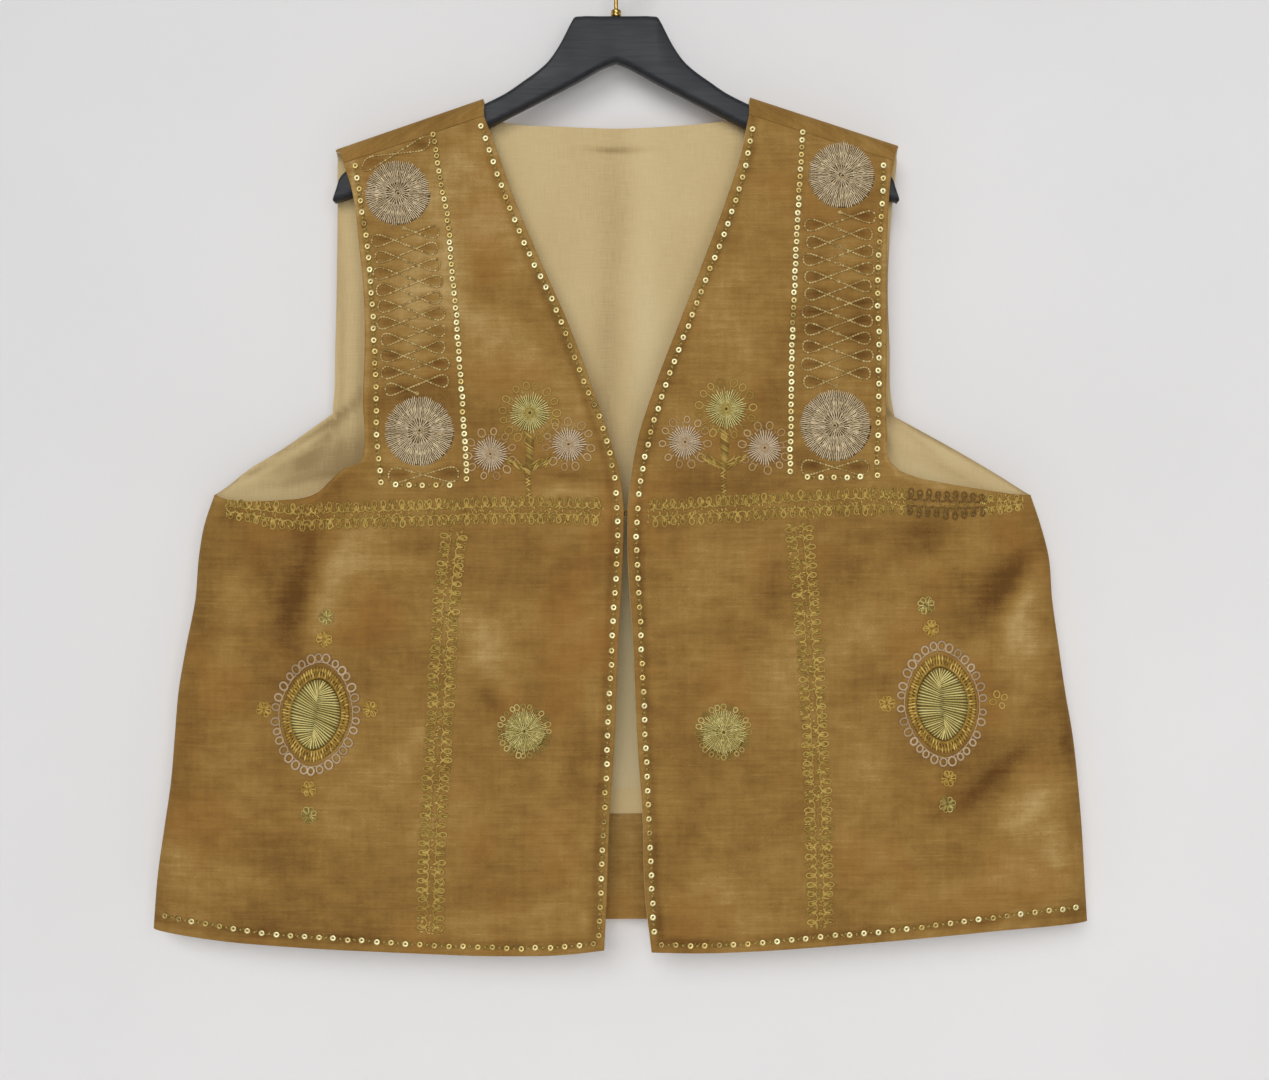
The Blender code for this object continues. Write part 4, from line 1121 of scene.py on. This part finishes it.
band_draws = np.random.default_rng(23)
band_parts = []
for points in BANDS:
    for side, size in ((-1, 1.0), (1, 1.0), (-1, 0.6), (1, 0.6)):
        plan = e_loops(points, side, size, band_draws)
        rise = SEWN_ON + 0.2 * MM + 0.15 * MM * np.sin(np.linspace(0, pi, LOOP_STEPS))[None, :]
        tone = band_draws.uniform(0.4, 0.8, len(plan))
        # Painted shade: loops on the stretch by the armhole get a dark tone
        band_parts.append((laid(plan, rise, BAND_THREAD, BAND_THREAD * 0.7),
                           np.where(in_painted_shade(plan[:, 0, 0]), 0.08, tone)))
    fill = int(row_length(points) / FILL_STEP)
    spots = along(points, band_draws.uniform(0.005, 0.995, fill))
    ahead = headings(along(points, np.linspace(0, 1, fill)))
    away = band_draws.uniform(-FILL_REACH, FILL_REACH, fill) * MM * narrowing(spots[:, 0])
    spots = spots + away[:, None] * turned_by(ahead, pi / 2)
    leaning = turned_by(ahead, pi / 2 + band_draws.uniform(-0.7, 0.7, fill))
    # Fill stitches; those on the stretch by the armhole get a darker tone, as painted shade
    band_parts.append((stitches(spots, leaning, band_draws.uniform(1.8, 3.0, fill) * MM,
                                0.45 * MM, 0.46 * MM, 0.36 * MM),
                       np.where(in_painted_shade(spots[:, 0]), 0.38,
                                band_draws.uniform(0.3, 1.0, fill))))
sew("scroll_bands", band_gold, "gold_thread", band_parts)

# Shoulder panels: four large discs and the looped figure between them.
# Each disc is lilac-silver cord couched over a pad in tight rays. The loops are a cream chain
# stitch that swings from side to side and crosses itself in the middle.

Disc = namedtuple("Disc", "name x z radius")
SHOULDER_DISCS = (
    Disc("disc_shoulder_left_upper", -169.4, -212.2, 25.4),
    Disc("disc_shoulder_left_lower", -150.8, -397.9, 26.6),
    Disc("disc_shoulder_right_upper", 174.8, -198.5, 25.8),
    Disc("disc_shoulder_right_lower", 168.8, -393.5, 27.4),
)

silver_thread = thread_finish("lilac_silver_thread", (98, 76, 46), (198, 174, 132),
                              (252, 232, 192), 0.1, 0.5)


def middle_of(motif):
    return np.array([motif.x, motif.z]) * MM


def rays(centre, inner, outer, count, steps, draws, waviness=0.0, ragged=0.03):
    """Radial stitches from one circle out to another, swaying a little and of uneven length."""
    share = np.linspace(0.0, 1.0, steps)
    near = inner * (1 + draws.uniform(-0.15, 0.15, count))[:, None]
    far = outer * (1 + draws.uniform(-ragged, ragged, count))[:, None]
    radius = near + (far - near) * share
    angle = (2 * pi * (np.arange(count) + draws.uniform(-0.07, 0.07, count)) / count)[:, None]
    sway = waviness * np.sin(share * 13 + draws.uniform(0, 6, count)[:, None])
    angle = angle + sway / np.maximum(radius, 0.3 * outer)
    return centre + radius[..., None] * pointing(angle)


def couched_pad(centre, half_width, half_height, turns, steps):
    """A flat spiral under the rays, from the middle out to the rim."""
    share = np.linspace(0.02, 1.0, steps)
    size = np.array([half_width, half_height]) * share[:, None]
    return (centre + size * pointing(share * turns * 2 * pi))[None]


def rosette(middle, radius, spacing, thickness, waviness, draws, ragged=0.03):
    """Radial stitches in three rings that overlap, equally far apart at the rim of each."""
    bundles = []
    for inner, outer, lift in ((0.60, 1.0, 0.95), (0.34, 0.70, 1.05), (0.08, 0.40, 1.12)):
        count = int(2 * pi * radius * outer * (0.7 if outer < 0.5 else 1.0) / spacing)
        plan = rays(middle, radius * inner, radius * outer, count, 9, draws, waviness, ragged)
        lifts = lift * MM * np.ones(9)
        lifts[-2:] = (0.8 * MM, 0.45 * MM) if outer == 1.0 else lifts[-2:]
        taper = np.linspace(0.62, 1.0, 9)
        taper[-1] = 0.55
        bundles.append((laid(plan, lifts[None, :], thickness, thickness * 0.9, taper=taper),
                        draws.uniform(0.55, 1.0, count)))
    return bundles


disc_draws = np.random.default_rng(31)
for disc in SHOULDER_DISCS:
    middle = middle_of(disc)
    radius = disc.radius * MM
    pad = laid(couched_pad(middle, radius * 0.94, radius * 0.94, 9, 330), 0.55 * MM,
               1.75 * MM, 0.42 * MM)
    knot = laid(ring_plan(middle[None] + disc_draws.uniform(-1, 1, 2) * MM, 1.5 * MM, 14),
                1.75 * MM, 0.8 * MM, 0.5 * MM, closed=True)
    sew("silver_" + disc.name, silver_thread, "silver_thread",
        [(pad, 0.0), (knot, 0.45)] + rosette(middle, radius, 1.62 * MM, 0.46 * MM, 0.14 * MM,
                                             disc_draws), disc.name)

cream_thread = thread_finish("cream_gold_thread", (142, 110, 56), (192, 162, 96), (232, 206, 142),
                             0.1, 0.5)
CHAIN_STEP = 2.2 * MM


def chain_stitches(line, length, draws):
    """Short stitches end to end along a close-set line, with their tones."""
    reach = reach_along(line)
    count = int(reach[-1] / CHAIN_STEP)
    at = np.linspace(0.0, reach[-1], count)
    chain = np.stack([np.interp(at, reach, line[:, 0]), np.interp(at, reach, line[:, 1])], axis=-1)
    leaning = turned_by(headings(chain), draws.normal(0.0, 0.16, count))
    return (stitches(chain, leaning, length, 0.5 * MM, 0.9 * MM, 0.55 * MM),
            draws.uniform(0.15, 0.95, count))


loop_draws = np.random.default_rng(41)
loop_parts = []
for figure in FIGURES:
    turn = np.linspace(0.0, figure.loops * 2 * pi, figure.loops * 90)
    loop_parts.append(chain_stitches(looped_line(figure, turn), 1.9 * MM, loop_draws))
    crossings = looped_line(figure, np.arange(0, figure.loops * 2 + 1, 2) * pi)
    loop_parts.append((laid(ring_plan(crossings, 1.3 * MM, 10), 0.5 * MM, 0.36 * MM, 0.34 * MM,
                            closed=True), 0.6))
sew("shoulder_loops", cream_thread, "gold_thread", loop_parts)

# Chest sprigs: a green-gold flower above two lilac ones, on a stitched stem.
# Flower heads are rays over a pad with a ring of thin loops round them; the stem is stacked
# slanting stitches of gold thread that narrow downwards, with a leaf tuft at each side.

Flower = namedtuple("Flower", "name x z radius ring loops green")
FLOWERS = (
    Flower("flower_left_top", -66.0, -384.0, 14.8, 20.8, 15, True),
    Flower("flower_left_outer", -96.2, -415.5, 12.6, 17.4, 11, False),
    Flower("flower_left_inner", -36.2, -408.2, 12.6, 17.4, 11, False),
    Flower("flower_right_top", 84.6, -381.0, 14.8, 20.8, 15, True),
    Flower("flower_right_inner", 53.2, -406.4, 12.6, 17.4, 11, False),
    Flower("flower_right_outer", 114.2, -410.8, 12.6, 17.4, 11, False),
)

# Millimetres: x of each stem, then the heights of its top and its foot
STEMS = ((-66.7, -400.5, -450.5), (83.0, -398.5, -448.0))
STEM_STEP = 1.2
TUFT_STITCHES = 20

green_thread = thread_finish("green_gold_thread", (98, 82, 30), (184, 162, 82), (248, 234, 156),
                             0.1, 0.48)
lilac_thread = thread_finish("pale_lilac_thread", (124, 94, 50), (200, 172, 134), (246, 226, 194),
                             0.1, 0.5)
rose_thread = thread_finish("rose_gold_thread", (148, 112, 60), (190, 154, 100), (224, 194, 144),
                            0.1, 0.5)


def oval_reach(angle, power):
    """How far out an oval of half size 1 comes at an angle; a power under 2 makes it a rhomb."""
    return (np.abs(np.cos(angle))**power + np.abs(np.sin(angle))**power)**(-1 / power)


def loops_round(centre, half_width, half_height, count, size, draws, power=2.0, phase=0.0,
                tilt=0.0):
    """Small closed loops in a ring about a centre; power 2 is an oval and less is a rhomb."""
    angle = phase + 2 * pi * (np.arange(count) + draws.uniform(-0.16, 0.16, count)) / count
    rim = np.stack([half_width * np.cos(angle), half_height * np.sin(angle)], axis=-1)
    middles = oval_reach(angle, power)[:, None] * rim
    middles, out = centre + turned_by(middles, tilt), turned_by(unit(middles), tilt)
    turn = once_round(12)
    aside = np.stack([-out[:, 1], out[:, 0]], axis=-1)
    span = size * (1 + draws.uniform(-0.15, 0.15, count))[:, None, None]
    return (middles[:, None] + span * np.cos(turn)[None, :, None] * out[:, None]
            + span * 0.85 * np.sin(turn)[None, :, None] * aside[:, None])


flower_draws = np.random.default_rng(53)
ring_parts = {True: [], False: []}
for flower in FLOWERS:
    middle = middle_of(flower)
    radius = flower.radius * MM
    pad = laid(couched_pad(middle, radius * 0.8, radius * 0.8, 5, 130), 0.45 * MM,
               1.5 * MM, 0.3 * MM)
    petals = 46 if flower.green else 38
    long_rays = rays(middle, radius * 0.26, radius, petals, 7, flower_draws, 0.1 * MM, 0.10)
    short_rays = rays(middle, radius * 0.08, radius * 0.36, petals // 2, 5, flower_draws)
    fringe = rays(middle, radius * 0.92, radius * 1.24, petals // 2, 4, flower_draws, 0.0, 0.10)
    metal, slot = (green_thread, "gold_thread") if flower.green else (lilac_thread, "silver_thread")
    sew("stitched_" + flower.name, metal, slot,
        [(pad, 0.12), (laid(fringe, 0.35 * MM, 0.36 * MM, 0.3 * MM, taper=DASH_TAPER), 0.6),
         (laid(long_rays, 0.95 * MM, 0.44 * MM, 0.42 * MM, taper=np.linspace(0.6, 1.0, 7)),
          flower_draws.uniform(0.7, 1.15, petals)),
         (laid(short_rays, 1.1 * MM, 0.42 * MM, 0.4 * MM), 0.5)], flower.name)
    ring = loops_round(middle, flower.ring * MM, flower.ring * MM, flower.loops, 2.9 * MM,
                       flower_draws, phase=flower_draws.uniform(0, 1))
    ring_parts[flower.green].append((
        laid(ring, SEWN_ON + 0.2 * MM, 0.62 * MM, 0.44 * MM, closed=True),
        flower_draws.uniform(0.4, 0.8, flower.loops)))
sew("rings_of_green_flowers", band_gold, "gold_thread", ring_parts[True])
sew("rings_of_lilac_flowers", rose_thread, "gold_thread", ring_parts[False])

stem_draws = np.random.default_rng(59)
stem_parts = []
for x, top, foot in STEMS:
    count = int((top - foot) / STEM_STEP)
    share = np.linspace(0.0, 1.0, count)
    centres = np.stack([np.full(count, x) + 0.6 * np.sin(share * 7), top + (foot - top) * share],
                       axis=-1) * MM
    lean = np.where((np.arange(count) % 2 > 0) & (share > 0.6), 0.6, -0.6)
    length = (9.6 - 5.0 * np.minimum(share / 0.7, 1.0)) * MM
    stem_parts.append((stitches(centres, pointing(lean), length, 0.6 * MM, 0.52 * MM, 0.5 * MM),
                       stem_draws.uniform(0.2, 1.0, count)))
    for side in (-1.0, 1.0):
        out = np.linspace(0.0, 1.0, TUFT_STITCHES)
        centres = np.stack([x + side * (3.5 + 13.0 * out),
                            top - 25.0 + 6.0 * out
                            + stem_draws.uniform(-3.2, 3.2, TUFT_STITCHES)], axis=-1) * MM
        lean = 0.75 + stem_draws.uniform(-0.45, 0.45, TUFT_STITCHES)
        stem_parts.append((stitches(centres, pointing(lean) * (side, 1.0), (7.5 - 2.5 * out) * MM,
                                    SEWN_ON + 0.3 * MM, 0.56 * MM, 0.42 * MM),
                           stem_draws.uniform(0.35, 0.9, TUFT_STITCHES)))
sew("sprig_stems", band_gold, "gold_thread", stem_parts)

# Lower motifs: a round one and a tall medallion with its florets on each front.
# The round ones are green-gold rays in a ring of loops. The medallion is a green leaf filling
# of slanting stitches, an orange-gold ring of short rays, a thin outline and lilac loops.

Medallion = namedtuple("Medallion", "side x z half_width half_height tilt")
HEM_DISCS = (Disc("disc_hem_left", -70.1, -628.1, 20.8), Disc("disc_hem_right", 82.7, -628.8, 21.4))
MEDALLIONS = (Medallion("left", -230.5, -615.5, 26.0, 37.0, -0.14),
              Medallion("right", 250.8, -607.5, 26.6, 38.0, 0.10))
RHOMB = 1.80
HEM_DISC_LOOPS = 24
LEAF_STITCHES = 60
BOWS = 30

# Millimetres: small florets about each medallion, with the count of their petals
Floret = namedtuple("Floret", "x z radius petals green")
FLORETS = (
    Floret(-222.0, -541.1, 6.2, 8, True), Floret(-223.6, -557.6, 6.0, 9, False),
    Floret(-270.9, -612.2, 5.8, 8, False), Floret(-187.9, -611.1, 6.0, 8, False),
    Floret(-235.9, -672.9, 5.8, 8, False), Floret(-235.9, -692.9, 6.4, 8, True),
    Floret(238.5, -531.9, 6.8, 8, True), Floret(242.4, -549.5, 6.0, 9, False),
    Floret(207.8, -606.8, 6.0, 8, False), Floret(295.2, -605.0, 7.4, 4, False),
    Floret(255.9, -664.8, 6.0, 8, False), Floret(255.0, -684.9, 6.2, 8, True),
)

orange_thread = thread_finish("orange_gold_thread", (126, 90, 28), (196, 158, 66),
                              (244, 212, 120), 0.1, 0.5)

motif_draws = np.random.default_rng(61)
for disc in HEM_DISCS:
    middle = middle_of(disc)
    radius = disc.radius * 0.80 * MM
    pad = laid(couched_pad(middle, radius * 0.9, radius * 0.9, 6, 170), 0.5 * MM,
               1.6 * MM, 0.35 * MM)
    ring = loops_round(middle, radius + 2.3 * MM, radius + 2.3 * MM, HEM_DISC_LOOPS, 2.0 * MM,
                       motif_draws)
    loops = laid(ring, SEWN_ON + 0.25 * MM, 0.5 * MM, 0.42 * MM, closed=True)
    sew("stitched_" + disc.name, green_thread, "gold_thread",
        [(pad, 0.2), (loops, motif_draws.uniform(0.2, 0.8, HEM_DISC_LOOPS))]
        + rosette(middle, radius, 1.5 * MM, 0.40 * MM, 0.15 * MM, motif_draws, 0.10), disc.name)


def rhomb_point(angle, half_width, half_height, tilt):
    """Point of a soft rhomb, turned by its tilt: an oval whose power is under 2."""
    reach = oval_reach(angle, RHOMB)
    return turned_by(np.stack([half_width * reach * np.cos(angle),
                               half_height * reach * np.sin(angle)], axis=-1), tilt)


def even_angles(half_width, half_height, count, draws):
    """Angles that step evenly round the rim of the rhomb, each a little out of place."""
    fine = np.linspace(-pi / 2, 3 * pi / 2, 721)
    rim = rhomb_point(fine, half_width, half_height, 0.0)
    reach = reach_along(rim)
    at = (np.arange(count) + 0.5 + draws.uniform(-0.12, 0.12, count)) / count
    return np.interp(at * reach[-1], reach, fine)


for medallion in MEDALLIONS:
    middle = middle_of(medallion)
    wide, tall, tilt = medallion.half_width * MM, medallion.half_height * MM, medallion.tilt
    leaf_wide, leaf_tall = wide * 0.74, tall * 0.73
    leaves = []
    count = LEAF_STITCHES
    for inner, lift in ((0.55, 0.8), (0.0, 1.1)):
        angle = even_angles(leaf_wide, leaf_tall, count, motif_draws) + (inner < 0.5) * pi / count
        rim = rhomb_point(angle, leaf_wide, leaf_tall, 0.0)
        root_z = 0.62 * rim[:, 1] + 0.10 * leaf_tall * np.sign(rim[:, 0])
        root = np.stack([np.zeros(count), root_z], axis=-1)
        steps = np.linspace(inner, 1.0, 6)[None, :, None]
        plan = root[:, None] + steps * (rim - root)[:, None]
        plan = middle + turned_by(plan.reshape(-1, 2), tilt).reshape(plan.shape)
        taper = np.array([0.5, 0.7, 0.8, 0.9, 1.0, 0.6])
        leaves.append((laid(plan, lift * MM, 0.62 * MM, 0.62 * MM, taper=taper),
                       np.where(inner > 0.5, 0.1, motif_draws.uniform(0.6, 1.0, count))))
    pad = couched_pad(np.zeros(2), leaf_wide * 0.92, leaf_tall * 0.92, 8, 260)
    pad = middle + turned_by(pad[0], tilt)[None]
    leaves.append((laid(pad, 0.5 * MM, 1.9 * MM, 0.35 * MM), 0.1))
    sew("leaf_of_medallion_" + medallion.side, green_thread, "gold_thread", leaves,
        "medallion_" + medallion.side)
    ring = []
    for inner, outer, count in ((0.77, 0.90, 70), (0.87, 1.0, 82)):
        angle = even_angles(wide, tall, count, motif_draws)
        share = np.linspace(inner, outer, 4)[None, :, None]
        plan = middle + share * rhomb_point(angle, wide, tall, tilt)[:, None]
        ring.append((laid(plan, 0.85 * MM, 0.66 * MM, 0.6 * MM, taper=DASH_TAPER + 0.1),
                     motif_draws.uniform(0.15, 0.95, count)))
    turn = once_round(72)
    for share in (0.79, 0.93):
        bed = middle + share * rhomb_point(turn, wide, tall, tilt)
        ring.append((laid(bed[None], 0.42 * MM, 1.9 * MM, 0.3 * MM, closed=True), 0.2))
    sew("ring_of_medallion_" + medallion.side, orange_thread, "gold_thread", ring)
    outline = middle + rhomb_point(turn, wide + 2.6 * MM, tall + 3.6 * MM, tilt)
    rim = [(laid(outline[None], SEWN_ON + 0.2 * MM, 0.5 * MM, 0.4 * MM, closed=True), 0.45)]
    bows = loops_round(middle, wide + 5.4 * MM, tall + 7.0 * MM, BOWS, 3.1 * MM, motif_draws,
                       RHOMB, tilt=tilt)
    rim.append((laid(bows, SEWN_ON + 0.3 * MM, 0.90 * MM, 0.6 * MM, closed=True),
                motif_draws.uniform(0.30, 0.65, BOWS)))
    sew("rim_of_medallion_" + medallion.side, lilac_thread, "silver_thread", rim)

for shade, metal in ((True, green_thread), (False, orange_thread)):
    floret_parts = []
    for floret in (f for f in FLORETS if f.green == shade):
        middle = middle_of(floret)
        radius = floret.radius * MM
        petals = loops_round(middle, radius * 0.66, radius * 0.66, floret.petals, radius * 0.34,
                             motif_draws, phase=0.4)
        floret_parts.append((laid(petals, SEWN_ON + 0.25 * MM, 0.46 * MM, 0.4 * MM, closed=True),
                             motif_draws.uniform(0.3, 0.75, floret.petals)))
        if floret.petals > 4:
            star = rays(middle, radius * 0.1, radius, 12, 4, motif_draws, 0.0, 0.15)
            floret_parts.append((laid(star, SEWN_ON + 0.4 * MM, 0.42 * MM, 0.36 * MM,
                                      taper=DASH_TAPER), motif_draws.uniform(0.2, 0.85, 12)))
    sew("florets_green" if shade else "florets_gold", metal, "gold_thread", floret_parts)

# Wooden bar of the coat hanger.
# One piece of beech, sawn to its curve, rounded over and lacquered a satin black.

BAR_HALF_THICKNESS = 7.0 * MM
BAR_ROUNDING = 4.6 * MM
BAR_UPPER = ((0, -71.8), (14, -71.8), (27.5, -71.9), (32.4, -72.6), (34.8, -76.2), (38.6, -83.6),
             (42.5, -91.3), (47.2, -99.1), (53, -107), (61.6, -114.8), (72.5, -122.6),
             (84.6, -131.0), (104, -141.0), (150, -163.7), (205, -190.4), (212, -193.6),
             (215.5, -197.5), (218.5, -206.0), (220.8, -214.6))
BAR_LOWER = ((0, -107.7), (5.5, -109.6), (30, -122.6), (105, -160.9), (195, -206.5), (210, -214.0),
             (215.6, -216.0), (220.8, -216.8))
BAR_STATIONS = 150


def lacquer_paint(uv, place):
    """Lacquer over beech: faint long grain in the gloss, and a few dulled patches."""
    grain = place.grain((30.0, 500.0, 500.0), 3.0)
    dull = place.grain((40.0, 40.0, 40.0), 3.0)
    shades = grain.dye((0.3, (32, 33, 37)), (0.7, (44, 46, 50)))
    return {"Base Color": shades, "Roughness": 0.48 + (dull - 0.5) * 0.25,
            "Normal": grain.bump(0.15 * MM)}


lacquer = finish("black_lacquer", {"Specular IOR Level": 0.25}, lacquer_paint)


def rounded_section(top, foot, half_thickness, rounding, steps=6):
    """Closed outlines, one for each pair of heights: a rectangle with its corners rounded."""
    corner = np.linspace(0.0, pi / 2, steps)
    r = np.minimum(rounding, (top - foot) * 0.45)[:, None]
    ys, zs = [], []
    for quarter, (side, up) in enumerate(((1, 1), (-1, 1), (-1, -1), (1, -1))):
        angle = corner + quarter * pi / 2
        middle_y = side * (half_thickness - r)
        middle_z = (top[:, None] - r) if up > 0 else (foot[:, None] + r)
        ys.append(middle_y + r * np.cos(angle))
        zs.append(middle_z + r * np.sin(angle))
    return np.concatenate(ys, axis=1), np.concatenate(zs, axis=1)


reach = np.linspace(0.0, 1.0, BAR_STATIONS)
upper_line = along(BAR_UPPER, reach)
lower_line = along(BAR_LOWER, np.linspace(0.0, 1.0, 600))
lower_z = np.interp(upper_line[:, 0], lower_line[:, 0], lower_line[:, 1])
half_x = np.concatenate([-upper_line[:0:-1, 0], upper_line[:, 0]])
top_z = np.concatenate([upper_line[:0:-1, 1], upper_line[:, 1]])
foot_z = np.concatenate([lower_z[:0:-1], lower_z])
foot_z = np.minimum(foot_z, top_z - 1.2 * MM)
bar_y, bar_z = rounded_section(top_z, foot_z, BAR_HALF_THICKNESS, BAR_ROUNDING)
bar_x = np.broadcast_to(half_x[:, None], bar_y.shape)
bar_rings = np.stack([bar_x, bar_y, bar_z], axis=-1)[None]
sew("wooden_bar", lacquer, "hanger_wood", [((bar_rings, False), 0.5)], "hanger_bar")

# Brass hook, its nut, and the hook and eye at the waist.
# The hanger's hook is a bent wire screwed through a turned nut. The dress hook and eye are fine
# wire loops sewn to the linings; all four keep the model's own shape or a rounder copy of it.

NUT_RADIUS = 4.0 * MM
NUT_SIDES = 28
WIRE_RADIUS = 1.6 * MM
HOOK_INNER_RADIUS = 22.0 * MM
HOOK_BEND_RADIUS = 8.0 * MM
HOOK_END_ANGLE = 205.0


def brass_paint(uv, place):
    """Old brass: its tone and gloss vary in soft patches, with fine drawn scratches."""
    patch = place.grain((220.0, 220.0, 220.0), 3.0)
    scratch = place.grain((3000.0, 3000.0, 300.0), 2.0)
    shades = patch.dye((0.3, (150, 116, 58)), (0.7, (212, 178, 104)))
    return {"Base Color": shades, "Roughness": 0.26 + (scratch - 0.5) * 0.25}


brass = finish("old_brass", {"Metallic": 1.0}, brass_paint)


def round_bar(path, radius, sides):
    """Rings of a wire that lies in the plane of x and z, with its ends rounded over."""
    ahead = headings(path)
    across_y = np.broadcast_to((0.0, 1.0, 0.0), (len(path), 3))
    along_plane = np.stack([ahead[:, 1], np.zeros(len(path)), -ahead[:, 0]], axis=-1)
    angle = once_round(sides)
    centre = np.stack([path[:, 0], np.zeros(len(path)), path[:, 1]], axis=-1)
    size = np.asarray(radius)[:, None, None]
    return (centre[:, None] + size * np.cos(angle)[None, :, None] * along_plane[:, None]
            + size * np.sin(angle)[None, :, None] * across_y[:, None])[None]


loop = HOOK_INNER_RADIUS + WIRE_RADIUS
hook_centre = -HOOK_INNER_RADIUS
bend_z = hook_centre - sqrt(loop**2 + 2 * loop * HOOK_BEND_RADIUS)
meet = asin((hook_centre - bend_z) / (loop + HOOK_BEND_RADIUS))
nut_low, nut_high = (corner.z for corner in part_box("hanger_nut"))
stem = np.stack([np.zeros(8), np.linspace(nut_high + SEAM_GAP, bend_z - 0.4 * MM, 8)], axis=-1)
swan = np.linspace(pi, pi - meet, 14)
neck_bend = np.stack([HOOK_BEND_RADIUS * (1 + np.cos(swan)),
                      bend_z + HOOK_BEND_RADIUS * np.sin(swan)], axis=-1)
round_part = np.linspace(-meet, radians(HOOK_END_ANGLE), 70)[1:]
bowl = np.stack([loop * np.cos(round_part), hook_centre + loop * np.sin(round_part)], axis=-1)
hook_line = np.concatenate([stem, neck_bend, bowl])
thickness = np.full(len(hook_line), WIRE_RADIUS)
thickness[-3:] = WIRE_RADIUS * np.array([0.97, 0.85, 0.5])
hook_rings = round_bar(hook_line, thickness, 20)
sew("brass_hook", brass, "brass_fittings", [((hook_rings, False), 0.5)], "hanger_hook")

nut_profile = np.array([(0.0, 0.55), (0.0, 0.92), (0.08, 1.0), (0.42, 1.0), (0.5, 0.9),
                        (0.58, 1.0), (0.92, 1.0), (1.0, 0.9), (1.0, 0.5)])
nut_z = nut_low + (nut_high - nut_low) * nut_profile[:, 0]
turn = once_round(NUT_SIDES)
nut_rings = np.stack([NUT_RADIUS * nut_profile[:, 1:] * np.cos(turn)[None, :],
                      NUT_RADIUS * nut_profile[:, 1:] * np.sin(turn)[None, :],
                      np.broadcast_to(nut_z[:, None], (len(nut_z), NUT_SIDES))], axis=-1)[None]
sew("brass_nut", brass, "brass_fittings", [((nut_rings, False), 0.5)], "hanger_nut")

for name in ("closure_hook", "closure_eye"):
    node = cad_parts[name]
    for place in node.material_slots:
        place.material = brass

# Room: a pale wall behind, a pale floor below, soft daylight and the camera.
# The wall lets the eye through from its far side and the light from both, so the back can be
# seen too.

WALL_Y = 26.0 * MM
FLOOR_Z = -1.62
CAMERA = (0.0144, -1.230, -0.4815)
LENS = 44.5
SUN_FROM = (-0.42, -1.9, 0.85)
SUN_STRENGTH = 1.30
SUN_SPREAD = 32.0
SKY_COLOUR = (0.93, 0.95, 1.0, 1.0)
SKY_STRENGTH = 0.20
ROOM = 4.0
Lamp = namedtuple("Lamp", "name place aim width height watts colour")
LAMPS = (
    Lamp("front", (0.25, -2.4, -0.35), (0.0, 0.0, -0.5), 1.6, 1.6, 23.0, (1.0, 0.99, 0.97)),
    Lamp("behind", (0.6, 2.4, 0.5), (0.0, 0.0, -0.45), 1.8, 1.8, 40.0, (1.0, 0.99, 0.97)),
)


def flat_sheet(name, corners, material):
    mesh = bpy.data.meshes.new(name)
    mesh.from_pydata(corners, [], [(0, 1, 2, 3)])
    mesh.materials.append(material)
    placed(name, mesh)


def plaster_paint(uv, place):
    patch = place.grain((3.0, 3.0, 3.0), 2.0)
    return {"Base Color": patch.dye((0.3, (222, 221, 221)), (0.7, (226, 225, 225)))}


plaster = finish("pale_plaster", {"Roughness": 0.95, "Specular IOR Level": 0.1}, plaster_paint)
tree = plaster.node_tree

# Clear from behind and to the rays that look for a lamp, so it hides and shades nothing
opaque = Socket(tree, tree.nodes["Principled BSDF"].outputs[0])
from_behind = opaque.node("NewGeometry", {}, {}, out="Backfacing")
to_lamp = opaque.node("LightPath", {}, {}, out="Is Shadow Ray")
clear = opaque.node("BsdfTransparent", {}, {})
one_sided = opaque.node("MixShader", {}, {
    0: opaque.maths("MAXIMUM", from_behind, to_lamp), 1: opaque, 2: clear})
tree.links.new(one_sided.out, tree.nodes["Material Output"].inputs["Surface"])
flat_sheet("wall", [(-ROOM, WALL_Y, FLOOR_Z), (ROOM, WALL_Y, FLOOR_Z), (ROOM, WALL_Y, 3.0),
                    (-ROOM, WALL_Y, 3.0)], plaster)
floor_finish = finish("pale_floor", {"Roughness": 0.9, "Specular IOR Level": 0.1}, plaster_paint)
flat_sheet("floor", [(-ROOM, -ROOM, FLOOR_Z), (ROOM, -ROOM, FLOOR_Z), (ROOM, ROOM, FLOOR_Z),
                     (-ROOM, ROOM, FLOOR_Z)], floor_finish)

for lamp in LAMPS:
    light = bpy.data.lights.new(lamp.name, "AREA")
    light.shape = "RECTANGLE"
    light.size = lamp.width
    light.size_y = lamp.height
    light.energy = lamp.watts
    light.color = lamp.colour
    holder = placed(lamp.name, light)
    holder.location = lamp.place
    toward = [a - b for a, b in zip(lamp.aim, lamp.place)]
    holder.rotation_euler = Vector(toward).to_track_quat("-Z", "Y").to_euler()

sun = bpy.data.lights.new("sky_window", "SUN")
sun.energy = SUN_STRENGTH
sun.angle = radians(SUN_SPREAD)
sun_holder = placed("sky_window", sun)
sun_holder.rotation_euler = Vector([-a for a in SUN_FROM]).to_track_quat("-Z", "Y").to_euler()

world = bpy.data.worlds.new("daylight")
world.use_nodes = True
sky = world.node_tree.nodes["Background"].inputs
sky["Color"].default_value = SKY_COLOUR
sky["Strength"].default_value = SKY_STRENGTH
bpy.context.scene.world = world
bpy.context.scene.view_settings.view_transform = "Standard"

camera = placed("camera", bpy.data.cameras.new("camera"))
camera.data.sensor_width = 36.0
camera.data.lens = LENS
camera.location = CAMERA
camera.rotation_euler = (radians(90.0), 0.0, 0.0)
bpy.context.scene.camera = camera
